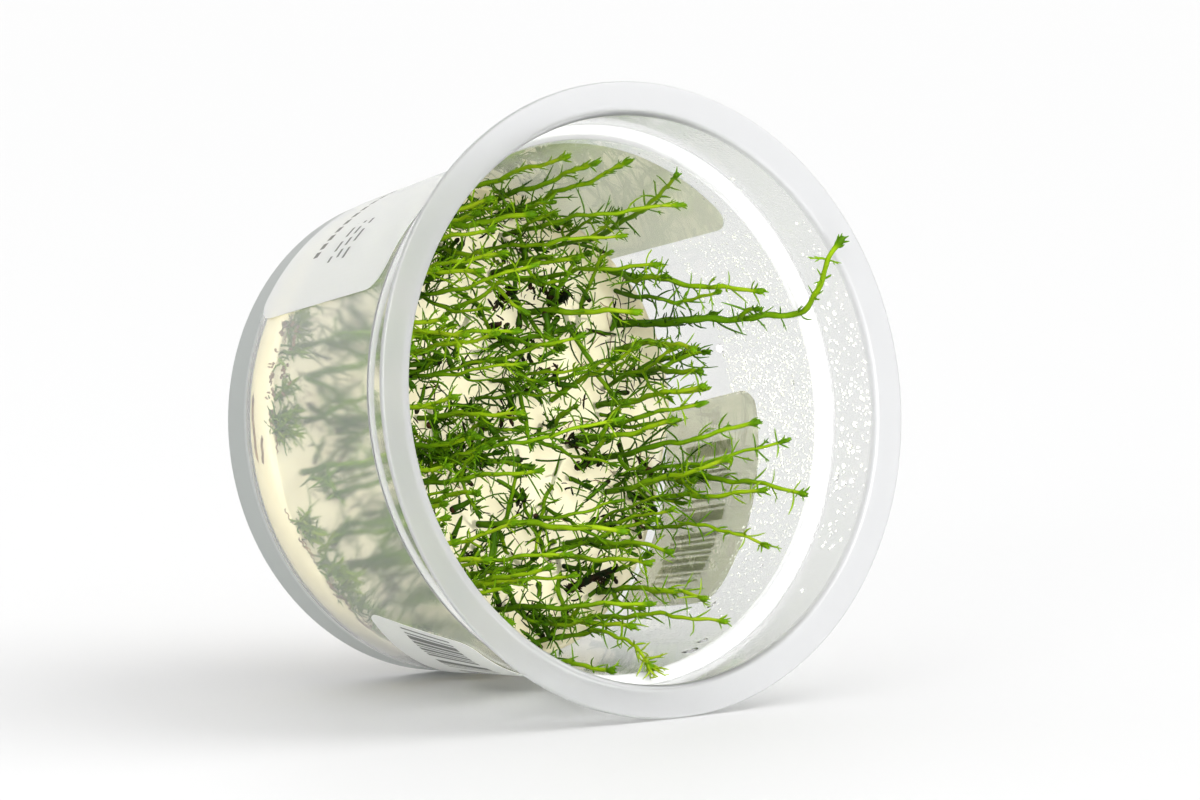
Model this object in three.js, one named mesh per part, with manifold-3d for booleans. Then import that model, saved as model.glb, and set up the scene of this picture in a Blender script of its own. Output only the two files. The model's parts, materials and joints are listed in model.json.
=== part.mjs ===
// A cup of tissue-cultured milfoil, lying on its side: a thin translucent plastic cup,
// a layer of nutrient gel on its base, and shoots with whorls of needle leaves that grow
// from the gel towards the open mouth. Three blank stickers are on the cup's outside.
//
// Millimetres, +Z up. The cup rests on its flange and its foot, with its mouth towards -Y.
// The origin is on the surface that it lies on, under the middle of the object.
//
// Everything is first made in the cup's own frame: z runs along the cup's axis from the
// end of its foot to its mouth, and y is the side that ends up on top.

import * as THREE from 'three';
import { mergeVertices } from 'three/addons/utils/BufferGeometryUtils.js';
import Module from 'manifold-3d';

const wasm = await Module();
wasm.setup();

// Cup: radii, and heights above the foot's end.
const CUP_SIDES = 32;
const CUP_HEIGHT = 61.8;
const FLANGE_R = 50;
const FLANGE_THICK = 0.9;
const FLANGE_EDGE = 0.25;
const MOUTH_R = 44.7;
const MOUTH_EDGE = 0.5;
const NECK_R = 45.5;
const NECK_DRAFT = 0.1;
const SHOULDER_TOP = 50.4;
const SHOULDER_LOW = 49;
const SHOULDER_DROP = 0.6;
const WALL_TOP_R = 42.4;
const WALL_FOOT_R = 38.65;
const STEP_R = 43.3;
const FOOT_R = 38.8;
const FOOT_WALL = 0.8;
const PLATE_LOW = 5.8;
const PLATE_TOP = 6.6;
const PLATE_FILLET = 1.2;
const UNDER_CORNER = 0.5;

// Nutrient gel on the base plate.
const GEL_TOP = 13;
const GEL_LUMP = 0.35;
const GEL_SIDES = 32;
const GEL_RINGS = [10, 20, 29, 35.5];

// Waves of its surface, in radians per millimetre across x, across y and along x - y, and
// the height by which it creeps up the wall, from one radius to another. It stands higher
// at the wall in two banks, and has drawn back from the wall in a bay: each lies round an
// angle in degrees, counted from the upper side, and fades over a spread of degrees.
const GEL_WAVE = { x: 0.31, y: 0.27, slant: 0.55, startX: 1.3, startY: -0.4, slantShare: 0.5 };
const GEL_CREEP = { height: 0.7, from: 33, to: 38.5 };
const GEL_BANKS = [{ angle: 60, spread: 22, height: 1 }, { angle: 158, spread: 8, height: 1.5 }];
const GEL_BAY = { angle: 110, spread: 20, depth: 2.2 };

// Neighbouring pieces never touch, and vertices closer than this are one.
const GAP = 0.3;
const SAME_PLACE = 1e-5;

// Stickers: angle of the middle and width in degrees round the cup from its upper side,
// lower and upper edge above the foot's end, corner radius, and turn in degrees. A facet
// spans so many degrees, and a row of points lies that share of the way up a corner.
const LABEL_THICK = 0.25;
const LABEL_FACET = 9;
const LABEL_ROW = 0.3;
const LABELS = [
  { name: 'label_top', middle: -4.9, width: 110, low: 5.2, high: 44.8, corner: 4, turn: 0 },
  { name: 'label_side', middle: 115.6, width: 53.6, low: 12.4, high: 35.2, corner: 3.5, turn: -4 },
  { name: 'label_front', middle: -159.1, width: 41.9, low: 13.6, high: 35, corner: 2.5, turn: -24 },
];

// Shoots: where each leaves the gel (x, y), where its tip is (x, y, height above the
// foot's end), and how far its middle is pulled aside (x, y).
const SHOOTS = [
  [0, 37.6, 1, 40, 46, 0, 1],
  [6, 35.8, 8, 39, 44, 0, 0.6],
  [9.5, 34.2, 13, 38.8, 46, 0, 0],
  [25, 28.6, 19, 36, 50, 0.5, 0.3],
  [10, 30.6, 21, 31, 48, 0, 1.5],
  [4.5, 28.2, 12, 27, 44, 0, 0],
  [-6, 32, 0.5, 32, 36, 0, 0],
  [13, 23, 18, 22, 44, 0, 0.5],
  [7, 24.6, 9, 24.4, 35, 0, 1],
  [30.5, 20, 28, 17, 46, 0, -4],
  [28.6, 23.6, 33.6, 16.2, 50, 1, -3],
  [13, 17.6, 19, 15, 36, 0, 0],
  [27, 4.6, 25, 9, 37, 0, 1],
  [30, 10.5, 26, 8, 40, 1, 1.5],
  [31.5, 6.5, 27, 4.5, 40, 0, 0],
  [25, 1.6, 26, 2.2, 42, 0, 0],
  [22, -1.8, 27, -0.4, 40, 0, 0],
  [19, -4.4, 24, -2.6, 36, 0, 0],
  [25, -7, 33, -4.4, 46, 0, 0],
  [27.6, -10, 37, -7.8, 48, 0, -1],
  [33.8, -10.6, 37, -17, 51, 1, 0],
  [30, -14, 33.6, -15.5, 45, 0, -1],
  [20, -18, 20, -17, 38, 0, 0],
  [30, -19.4, 29, -24.8, 50, 0, 2.5],
  [16, -20.4, 17.4, -24, 40, 0, 1],
  [12.6, -22.4, 16, -25.4, 36, 0, 0],
  [21, -28.8, 19.4, -32, 45, 0, 1],
  [16.6, -33, 20, -36, 49, 0, 1],
  [8, -32.4, 10, -35.2, 38, 0, 0],
  [-2, -37, -3, -41.8, 49, 0, -1],
  [-4, -26, 1, -26, 36, 0, 0],
  [-13, -8.6, -6, -9, 40, 0, 0],
  [-10, 2, -6, 0.4, 36, 0, 0],
  [-16, -3, -12, -2.6, 32, 0, 0],
  [5, 7, 7, 6.8, 35, 0, 0],
  [0, 10, 6, 12, 38, 0, 0],
  [-10, -5, 7, -2, 45, 0, 0],
  [-1, -16, 9, -20, 40, 0, 0],
  [-8, -21.6, 2, -22.6, 34, 0, 0],
  [1, -30, 12, -31.8, 41, 0, 0],
  [-12, 8.4, -3, 8.4, 34, 0, 0],
  [-14, 15, -3, 13.6, 34, 0, 0],
  [-10, 21, 0, 24, 36, 0, 0],
  [-30, 10, -28, 12, 40, 0, 0],
  [-33, -5, -31, -4, 38, 0, 0],
  [-26, -20, -25, -19, 42, 0, 0],
  [-24, 22, -22, 24, 40, 0, 0],
  [-16, -31, -15, -32.6, 40, 0, 0],
  [19, 28, 17, 30.2, 33, 1, -0.5],
  [25, -12.6, 29.4, -9.8, 42, 0, 0],
];

// Two shoots wander: the longest one leans out of the mouth, and one bends down.
const LONG_SHOOT = [[30.6, 14.6], [33, 13.6, 27], [37, 12.8, 40], [39.6, 12.2, 50], [39.4, 15.6, 57],
  [37.6, 20, 62.5], [38.4, 23, 66]];
const BENT_SHOOT = [[6, -36], [7.6, -35.2, 28], [6, -36.4, 39], [4, -39.4, 47], [3.2, -42.2, 51]];

// A shoot's middle lies this share of the way to its tip, and this share of its height.
const MIDDLE_ALONG = 0.25;
const MIDDLE_RISE = 0.55;

// Stems: a little thicker at the foot, thinner along their length, and ending in a leaf
// bud over the last part of it.
const STEM_R = 0.75;
const STEM_FOOT = 1.1;
const STEM_TAPER = 0.25;
const STEM_SIDES = 4;
const STEM_STEPS = 5;
const WANDER_STEPS = 10;
const BUD_R = 0.95;
const BUD_LENGTH = 0.2;
const BUD_TIP = 0.45;
const END = 0.999;

// Side shoots leave a stem low down, arch outwards and then run beside it.
const SIDE_R = 0.6;
const SIDE_SIDES = 3;
const SIDE_TIP = 0.5;
const SIDE_AT = 0.12;
const SIDE_REACH = 3.8;
const SIDE_ELBOW = { reach: 0.9, rise: 0.15 };
const SIDE_LENGTH = { middle: 13, varies: 0.35, beat: 5.3 };
const SIDE_STEPS = 3;
const SIDE_TURNS = 12;
const SIDE_EVERY = 2;

// Needle leaves stand in whorls: [place along the stem, leaves]. From one whorl or plant
// to the next they turn by a twist in radians, and their length varies in beats.
const WHORLS = [[0.6, 2], [0.97, 3]];
const SIDE_WHORLS = [[0.95, 2]];
const TWIST = 2.4;
const LEAF_LENGTH = { middle: 3.4, varies: 0.25, plantBeat: 3.7, whorlBeat: 2.1 };
const LEAF_R = 0.34;
const LEAF_ROOT = 0.2;
const LEAF_LEAN = 0.85;
const LEAF_CLEAR = 0.35;
const LIP_CLEAR = 1;
const SPACING_STEPS = 12;

// Dead stem pieces on the gel: two ends each (x, y, height above the gel). They narrow
// to a share of their radius at the far end.
const STUB_END = 0.5;
const STUB_SIDES = 5;
const STUB_STEPS = 3;
const STUBS = [
  { name: 'stub_fallen', from: [-1.5, 3.5, 1.6], to: [5.2, -4.6, 1.9], r: 0.9 },
  { name: 'stub_dark', from: [17.4, 19.4, 0.8], to: [16.4, 19.8, 7.5], r: 1.6 },
  { name: 'stub_brown', from: [14.4, -28, 0.9], to: [19, -25.2, 9], r: 1 },
];

// Colours and finishes.
const FINISH = {
  plastic: { color: 0xeceeee, roughness: 0.35, transparent: true, opacity: 0.45 },
  gel: { color: 0xeadfc0, roughness: 0.3 },
  sticker: { color: 0xf4f4f1, roughness: 0.6 },
  leaf: { color: 0x5c9417, roughness: 0.5 },
  dead: { color: 0x3a2a18, roughness: 0.8 },
};

function finish(kind) {
  return new THREE.MeshStandardMaterial({ metalness: 0, ...FINISH[kind] });
}

// Joins equal vertices and drops the flat triangles that a revolved axis leaves.
function weld(geometry) {
  geometry.deleteAttribute('normal');
  geometry.deleteAttribute('uv');
  const merged = mergeVertices(geometry, SAME_PLACE);
  const corner = Array.from(merged.index.array);
  const kept = [];
  for (let i = 0; i < corner.length; i += 3) {
    const [a, b, c] = corner.slice(i, i + 3);
    if (a !== b && b !== c && c !== a) kept.push(a, b, c);
  }
  merged.setIndex(kept);
  return merged;
}

function toSolid(geometry) {
  const welded = weld(geometry);
  const mesh = new wasm.Mesh({
    numProp: 3,
    vertProperties: new Float32Array(welded.attributes.position.array),
    triVerts: new Uint32Array(welded.index.array),
  });
  mesh.merge();
  return new wasm.Manifold(mesh);
}

function toGeometry(solid) {
  const mesh = solid.getMesh();
  const geometry = new THREE.BufferGeometry();
  geometry.setAttribute('position', new THREE.BufferAttribute(mesh.vertProperties.slice(), 3));
  geometry.setIndex(new THREE.BufferAttribute(mesh.triVerts.slice(), 1));
  return geometry;
}

// Revolves a profile of [radius, height] about the cup's axis. The flats of the result,
// not its corners, are at the given radii, so that it rests on flats.
function revolve(profile, sides) {
  const grow = 1 / Math.cos(Math.PI / sides);
  const points = profile.map(([r, h]) => new THREE.Vector2(r * grow, h));
  const lathe = new THREE.LatheGeometry(points, sides);
  lathe.rotateX(Math.PI / 2);
  lathe.rotateZ(Math.PI / sides);
  return lathe;
}

function outerWallR(height) {
  return THREE.MathUtils.mapLinear(height, 0, SHOULDER_LOW, FOOT_R, STEP_R);
}

function innerWallR(height) {
  const low = PLATE_TOP + PLATE_FILLET;
  return THREE.MathUtils.mapLinear(height, low, SHOULDER_LOW, WALL_FOOT_R, WALL_TOP_R);
}

function makeCup() {
  const under = CUP_HEIGHT - FLANGE_THICK;
  const outside = [
    [FOOT_R - FOOT_WALL, 0],
    [FOOT_R, 0],
    [outerWallR(SHOULDER_LOW - SHOULDER_DROP), SHOULDER_LOW - SHOULDER_DROP],
    [NECK_R - NECK_DRAFT, SHOULDER_TOP],
    [NECK_R, under],
    [FLANGE_R - FLANGE_EDGE, under],
    [FLANGE_R, under + FLANGE_EDGE],
    [FLANGE_R, CUP_HEIGHT - FLANGE_EDGE],
    [FLANGE_R - FLANGE_EDGE, CUP_HEIGHT],
  ];
  const inside = [
    [MOUTH_R + MOUTH_EDGE, CUP_HEIGHT],
    [MOUTH_R, CUP_HEIGHT - MOUTH_EDGE],
    [MOUTH_R - NECK_DRAFT, SHOULDER_TOP],
    [WALL_TOP_R, SHOULDER_LOW],
    [WALL_FOOT_R, PLATE_TOP + PLATE_FILLET],
    [WALL_FOOT_R - PLATE_FILLET, PLATE_TOP],
    [0, PLATE_TOP],
  ];
  const underside = [
    [0, PLATE_LOW],
    [FOOT_R - FOOT_WALL - UNDER_CORNER, PLATE_LOW],
    [FOOT_R - FOOT_WALL, PLATE_LOW - UNDER_CORNER],
  ];
  return revolve([...underside, ...outside, ...inside], CUP_SIDES);
}

// Share, from 0 to 1, of a bank or bay of the gel's rim that a place gets.
function rimShare(x, y, { angle, spread }) {
  const away = THREE.MathUtils.radToDeg(Math.atan2(x, y)) - angle;
  return Math.exp(-((away / spread) ** 2));
}

// Height of the gel's uneven surface above the foot's end.
function gelTop(x, y) {
  const long = Math.sin(GEL_WAVE.x * x + GEL_WAVE.startX) * Math.cos(GEL_WAVE.y * y + GEL_WAVE.startY);
  const slant = GEL_WAVE.slantShare * Math.sin(GEL_WAVE.slant * (x - y));
  const creep = THREE.MathUtils.smoothstep(Math.hypot(x, y), GEL_CREEP.from, GEL_CREEP.to);
  const rise = GEL_BANKS.reduce((sum, bank) => sum + bank.height * rimShare(x, y, bank), GEL_CREEP.height);
  return GEL_TOP + GEL_LUMP * (long + slant) + rise * creep;
}

// The gel is revolved inside the wall. Its upper surface then gets its lumps, and its rim
// its bay.
function makeGel() {
  const shrink = Math.cos(Math.PI / GEL_SIDES);
  const floor = PLATE_TOP + GAP;
  const rim = (innerWallR(GEL_TOP) - GAP) * shrink;
  const heel = (innerWallR(floor + PLATE_FILLET) - GAP) * shrink;
  const profile = [[0, floor], [heel - PLATE_FILLET, floor], [heel, floor + PLATE_FILLET], [rim, GEL_TOP]];
  for (const r of [...GEL_RINGS].reverse()) profile.push([r * shrink, GEL_TOP]);
  profile.push([0, GEL_TOP]);
  const gel = revolve(profile, GEL_SIDES);
  const place = gel.attributes.position;
  for (let i = 0; i < place.count; i += 1) {
    const [x, y] = [place.getX(i), place.getY(i)];
    if (place.getZ(i) > GEL_TOP - SAME_PLACE) place.setZ(i, gelTop(x, y));
    const r = Math.hypot(x, y);
    const back = r > GEL_RINGS.at(-1) ? GEL_BAY.depth * rimShare(x, y, GEL_BAY) : 0;
    if (back > 0) place.setXY(i, x * (1 - back / r), y * (1 - back / r));
  }
  return gel;
}

// A thin sheet with round corners, wrapped round the cup's outer wall.
function makeLabel({ middle, width, low, high, corner, turn }) {
  const height = high - low;
  const centre = (low + high) / 2;
  const arc = THREE.MathUtils.degToRad(width) * outerWallR(centre);
  const rows = [0, LABEL_ROW * corner, corner].map((y) => y / height - 0.5);
  const levels = [...rows, ...rows.map((v) => -v).reverse()];
  const facets = Math.round(width / LABEL_FACET);
  const sheet = new THREE.BoxGeometry(arc, height, LABEL_THICK, facets, levels.length - 1, 1);
  const tilt = THREE.MathUtils.degToRad(turn);
  const place = sheet.attributes.position;
  for (let i = 0; i < place.count; i += 1) {
    const row = Math.round((place.getY(i) / height + 0.5) * (levels.length - 1));
    const y = levels[row] * height;
    const past = Math.max(0, Math.abs(y) - (height / 2 - corner));
    const cut = corner - Math.sqrt(corner * corner - past * past);
    const x = place.getX(i) * (1 - 2 * cut / arc);
    const along = centre + y * Math.cos(tilt) + x * Math.sin(tilt);
    const round = x * Math.cos(tilt) - y * Math.sin(tilt);
    const angle = THREE.MathUtils.degToRad(middle) - round / outerWallR(centre);
    const r = outerWallR(along) / Math.cos(Math.PI / CUP_SIDES) + GAP + LABEL_THICK / 2 + place.getZ(i);
    place.setXYZ(i, r * Math.sin(angle), r * Math.cos(angle), along);
  }
  return sheet;
}

// Curve of a shoot given by its ends and the pull on its middle.
function shootCurve([x, y, tipX, tipY, tipZ, pullX, pullY]) {
  const foot = new THREE.Vector3(x, y, gelTop(x, y) + 2 * GAP);
  const tip = new THREE.Vector3(tipX, tipY, tipZ);
  const middle = foot.clone().lerp(tip, MIDDLE_ALONG);
  middle.z = THREE.MathUtils.lerp(foot.z, tip.z, MIDDLE_RISE);
  middle.x += pullX;
  middle.y += pullY;
  return new THREE.QuadraticBezierCurve3(foot, middle, tip);
}

function wanderingCurve([[x, y], ...rest]) {
  const foot = new THREE.Vector3(x, y, gelTop(x, y) + 2 * GAP);
  const points = [foot, ...rest.map((p) => new THREE.Vector3(...p))];
  return new THREE.CatmullRomCurve3(points, false, 'centripetal');
}

// Two unit vectors across a direction.
function across(direction) {
  const side = new THREE.Vector3(0, 1, 0).cross(direction).normalize();
  return [side, direction.clone().cross(side)];
}

// A round bar bent along a curve, with its radius given at each stretch of it.
function bar(curve, radiusAt, sides, steps) {
  const rod = new THREE.CylinderGeometry(1, 1, 1, sides, steps);
  const place = rod.attributes.position;
  const point = new THREE.Vector3();
  for (let i = 0; i < place.count; i += 1) {
    const t = THREE.MathUtils.clamp(place.getY(i) + 0.5, 0, 1);
    const [side, up] = across(curve.getTangentAt(t));
    curve.getPointAt(t, point);
    point.addScaledVector(side, -place.getX(i) * radiusAt(t));
    point.addScaledVector(up, place.getZ(i) * radiusAt(t));
    place.setXYZ(i, point.x, point.y, point.z);
  }
  return rod;
}

function stemR(t) {
  if (t > END) return BUD_TIP * BUD_R;
  if (t > END - BUD_LENGTH) return BUD_R;
  return STEM_R * (STEM_FOOT - STEM_TAPER * t);
}

function sideR(t) {
  return SIDE_R * (t > END ? SIDE_TIP : 1);
}

// Shortest distance between two straight pieces, by a few steps to and fro.
function spacing(a, b) {
  const onA = a.getCenter(new THREE.Vector3());
  const onB = new THREE.Vector3();
  for (let i = 0; i < SPACING_STEPS; i += 1) {
    b.closestPointToPoint(onA, true, onB);
    a.closestPointToPoint(onB, true, onA);
  }
  return onA.distanceTo(onB);
}

// Whether a straight piece of a shoot keeps clear of every other shoot.
function isFree(line, r, owner, taken) {
  return taken.every((other) => other.owner === owner
    || spacing(line, other.line) > other.r + r + LEAF_CLEAR);
}

function insideCup(point) {
  const wall = point.z > SHOULDER_LOW ? MOUTH_R - LIP_CLEAR : innerWallR(point.z);
  return Math.hypot(point.x, point.y) < wall - LEAF_CLEAR && point.z > gelTop(point.x, point.y) + LEAF_CLEAR;
}

function straights(curve, steps) {
  const points = curve.getSpacedPoints(steps);
  return points.slice(1).map((point, i) => new THREE.Line3(points[i], point));
}

// Needle leaves of one stem in whorls, each left off where it would touch a neighbour.
function needles(curve, stages, owner, taken) {
  const leaves = [];
  stages.forEach(([t, count], w) => {
    const along = curve.getTangentAt(t);
    const [side, up] = across(along);
    for (let k = 0; k < count; k += 1) {
      const turn = (2 * Math.PI * k) / count + TWIST * w + owner;
      const out = side.clone().multiplyScalar(Math.cos(turn)).addScaledVector(up, Math.sin(turn));
      const heading = along.clone().multiplyScalar(LEAF_LEAN).add(out).normalize();
      const root = curve.getPointAt(t).addScaledVector(heading, LEAF_ROOT);
      const beat = Math.sin(LEAF_LENGTH.plantBeat * owner + LEAF_LENGTH.whorlBeat * w + k);
      const length = LEAF_LENGTH.middle * (1 + LEAF_LENGTH.varies * beat);
      const leaf = new THREE.Line3(root, root.clone().addScaledVector(heading, length));
      if (isFree(leaf, LEAF_R, owner, taken) && insideCup(leaf.end)) {
        taken.push({ owner, line: leaf, r: LEAF_R });
        leaves.push(leaf);
      }
    }
  });
  return leaves;
}

// A side shoot of a stem, on the first side where there is room for it, or none.
function sideShoot(stem, owner, taken) {
  const root = stem.getPointAt(SIDE_AT);
  const length = SIDE_LENGTH.middle * (1 + SIDE_LENGTH.varies * Math.sin(SIDE_LENGTH.beat * owner));
  for (let k = 0; k < SIDE_TURNS; k += 1) {
    const turn = TWIST * owner + (2 * Math.PI * k) / SIDE_TURNS;
    const out = new THREE.Vector3(Math.cos(turn), Math.sin(turn), 0);
    const elbow = root.clone().addScaledVector(out, SIDE_ELBOW.reach * SIDE_REACH);
    elbow.z += SIDE_ELBOW.rise * length;
    const end = root.clone().addScaledVector(out, SIDE_REACH);
    end.z += length;
    const curve = new THREE.QuadraticBezierCurve3(root, elbow, end);
    const pieces = straights(curve, SIDE_STEPS);
    const fits = pieces.every((piece) => isFree(piece, BUD_R, owner, taken) && insideCup(piece.end));
    if (fits) {
      for (const line of pieces) taken.push({ owner, line, r: SIDE_R });
      return curve;
    }
  }
  return null;
}

function needleSolid(needle) {
  const cone = new THREE.ConeGeometry(LEAF_R, needle.distance(), 3, 1);
  const heading = needle.delta(new THREE.Vector3()).normalize();
  cone.applyQuaternion(new THREE.Quaternion().setFromUnitVectors(new THREE.Vector3(0, 1, 0), heading));
  const middle = needle.getCenter(new THREE.Vector3());
  cone.translate(middle.x, middle.y, middle.z);
  return toSolid(cone);
}

function makeShoots() {
  const wandering = [LONG_SHOOT, BENT_SHOOT].map(wanderingCurve);
  const stems = [...wandering, ...SHOOTS.map(shootCurve)];
  const taken = stems.flatMap((stem, owner) => straights(stem, STEM_STEPS)
    .map((line) => ({ owner, line, r: BUD_R })));
  const sides = stems.map((stem, owner) => (owner % SIDE_EVERY ? null : sideShoot(stem, owner, taken)));
  return stems.map((stem, owner) => {
    const steps = owner < wandering.length ? WANDER_STEPS : STEM_STEPS;
    const leaves = needles(stem, WHORLS, owner, taken);
    let shoot = toSolid(bar(stem, stemR, STEM_SIDES, steps));
    if (sides[owner]) {
      shoot = shoot.add(toSolid(bar(sides[owner], sideR, SIDE_SIDES, SIDE_STEPS)));
      leaves.push(...needles(sides[owner], SIDE_WHORLS, owner, taken));
    }
    for (const leaf of leaves) shoot = shoot.add(needleSolid(leaf));
    return toGeometry(shoot);
  });
}

function makeStub({ from, to, r }) {
  const ends = [from, to].map(([x, y, h]) => new THREE.Vector3(x, y, gelTop(x, y) + h));
  return bar(new THREE.LineCurve3(...ends), (t) => r * (1 - STUB_END * t), STUB_SIDES, STUB_STEPS);
}

const cup = new THREE.Group();

function addPiece(name, geometry, kind) {
  const mesh = new THREE.Mesh(geometry, finish(kind));
  mesh.name = name;
  cup.add(mesh);
}

addPiece('cup', weld(makeCup()), 'plastic');
addPiece('gel', weld(makeGel()), 'gel');
for (const label of LABELS) addPiece(label.name, weld(makeLabel(label)), 'sticker');
makeShoots().forEach((shoot, i) => {
  addPiece(`shoot_${String(i + 1).padStart(2, '0')}`, shoot, 'leaf');
});
for (const stub of STUBS) addPiece(stub.name, weld(makeStub(stub)), 'dead');

// Lay the cup down on its foot and its flange, and centre it over the origin.
const tip = Math.atan2(FLANGE_R - FOOT_R, CUP_HEIGHT - FLANGE_THICK + FLANGE_EDGE);
cup.rotation.x = Math.PI / 2 - tip;
cup.position.z = FOOT_R * Math.cos(tip);
cup.updateMatrixWorld(true);
cup.position.y = -new THREE.Box3().setFromObject(cup, true).getCenter(new THREE.Vector3()).y;

const object = new THREE.Group();
object.add(cup);

export default object;
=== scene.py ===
"""An open culture cup of milfoil that lies on its side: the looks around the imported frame."""

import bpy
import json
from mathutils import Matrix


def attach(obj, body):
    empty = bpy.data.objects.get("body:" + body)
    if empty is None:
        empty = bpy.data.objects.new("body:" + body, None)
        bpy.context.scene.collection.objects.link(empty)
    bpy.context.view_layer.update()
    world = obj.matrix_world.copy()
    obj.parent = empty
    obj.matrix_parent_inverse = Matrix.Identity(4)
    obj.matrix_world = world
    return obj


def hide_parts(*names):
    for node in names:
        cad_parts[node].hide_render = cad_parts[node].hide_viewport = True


bl_info = {
    "name": "Culture Cup of Milfoil",
    "version": (1, 0, 0),
    "blender": (4, 5, 0),
    "location": "View3D > Sidebar > Culture Cup",
    "description": "Builds a translucent culture cup with gel, milfoil shoots, stickers and dew",
    "category": "Add Mesh",
}

import json
import math
import random

import bmesh
import bpy
import numpy as np
from bpy.props import FloatProperty, FloatVectorProperty, IntProperty, PointerProperty
from mathutils import Matrix, Vector

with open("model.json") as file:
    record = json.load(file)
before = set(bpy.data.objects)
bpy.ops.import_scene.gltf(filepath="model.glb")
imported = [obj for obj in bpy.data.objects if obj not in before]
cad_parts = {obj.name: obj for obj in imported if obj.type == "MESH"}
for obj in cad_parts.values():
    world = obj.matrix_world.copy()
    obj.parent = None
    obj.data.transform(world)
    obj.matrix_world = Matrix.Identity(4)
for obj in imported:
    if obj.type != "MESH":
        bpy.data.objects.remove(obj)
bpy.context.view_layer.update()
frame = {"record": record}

MM = 0.001
BODY = "root"
FULL_TURN = 2 * math.pi

# The cup's own frame, in millimetres: z runs along its axis from the foot's end to the
# mouth, y is the side that lies on top, and angles run from y towards x.
CUP_HEIGHT = 61.8
FLANGE_R = 50.0
FLANGE_THICK = 0.9
MOUTH_R = 44.7
NECK_R = 45.5
NECK_DRAFT = 0.1
SHOULDER_TOP = 50.4
SHOULDER_LOW = 49.0
WALL_TOP_R = 42.4
WALL_FOOT_R = 38.65
STEP_R = 43.3
FOOT_R = 38.8
FOOT_WALL = 0.8
PLATE_LOW = 5.8
PLATE_TOP = 6.6
PLATE_FILLET = 1.2
# The cup's section from the axis below the plate round to the axis above it: radius,
# height and corner radius.
CUP_SECTION = [
    (0, PLATE_LOW, 0), (FOOT_R - FOOT_WALL, PLATE_LOW, 0.6), (FOOT_R - FOOT_WALL, 0, 0.25),
    (FOOT_R, 0, 0.35), (STEP_R, SHOULDER_LOW, 0.3), (NECK_R - NECK_DRAFT, SHOULDER_TOP, 0.4),
    (NECK_R, CUP_HEIGHT - FLANGE_THICK, 0.5), (FLANGE_R, CUP_HEIGHT - FLANGE_THICK, 0.3),
    (FLANGE_R, CUP_HEIGHT, 0.4), (MOUTH_R, CUP_HEIGHT, 0.8),
    (MOUTH_R - NECK_DRAFT, SHOULDER_TOP + 0.2, 0.3), (WALL_TOP_R, SHOULDER_LOW, 0.25),
    (WALL_FOOT_R, PLATE_TOP, 0.6), (0, PLATE_TOP, 0),
]
CORNER_SEGMENTS = 4
# How far inside the outer skin a face of the wall or the neck counts as the inner side.
INNER_SKIN, NECK_SKIN = 0.4, 0.45

GEL_TOP = 13.0
GEL_LUMP = 0.35
GEL_WAVE_X, GEL_WAVE_Y, GEL_WAVE_SLANT = 0.31, 0.27, 0.55
GEL_START_X, GEL_START_Y, GEL_SLANT_SHARE = 1.3, -0.4, 0.5
GEL_CREEP, GEL_CREEP_FROM, GEL_CREEP_TO = 0.7, 33.0, 38.5
# Where the gel stands higher at the wall: angle round the cup, spread and height. Where it
# has drawn back from the wall: angle, spread and depth.
GEL_BANKS = [(60, 22, 1.0), (158, 8, 1.5)]
GEL_BAY_ANGLE, GEL_BAY_SPREAD, GEL_BAY_DEPTH = 110, 20, 2.2
GEL_BAY_FROM = 30.0
# The gel's mesh: its lift over the plate, facets round it and rings on top, the corner
# radius at its foot, how far in the first ring lies, and the height of its ripples.
GEL_LIFT = 0.05
GEL_TURNS, GEL_RINGS = 128, 40
GEL_CORNER, GEL_FIRST_RING = 0.6, 0.6
GEL_RIPPLE = 0.12
# Where the gel climbs the wall: how far from it, and how high.
GEL_CLIMB_FROM, GEL_CLIMB = 1.6, 0.6

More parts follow.
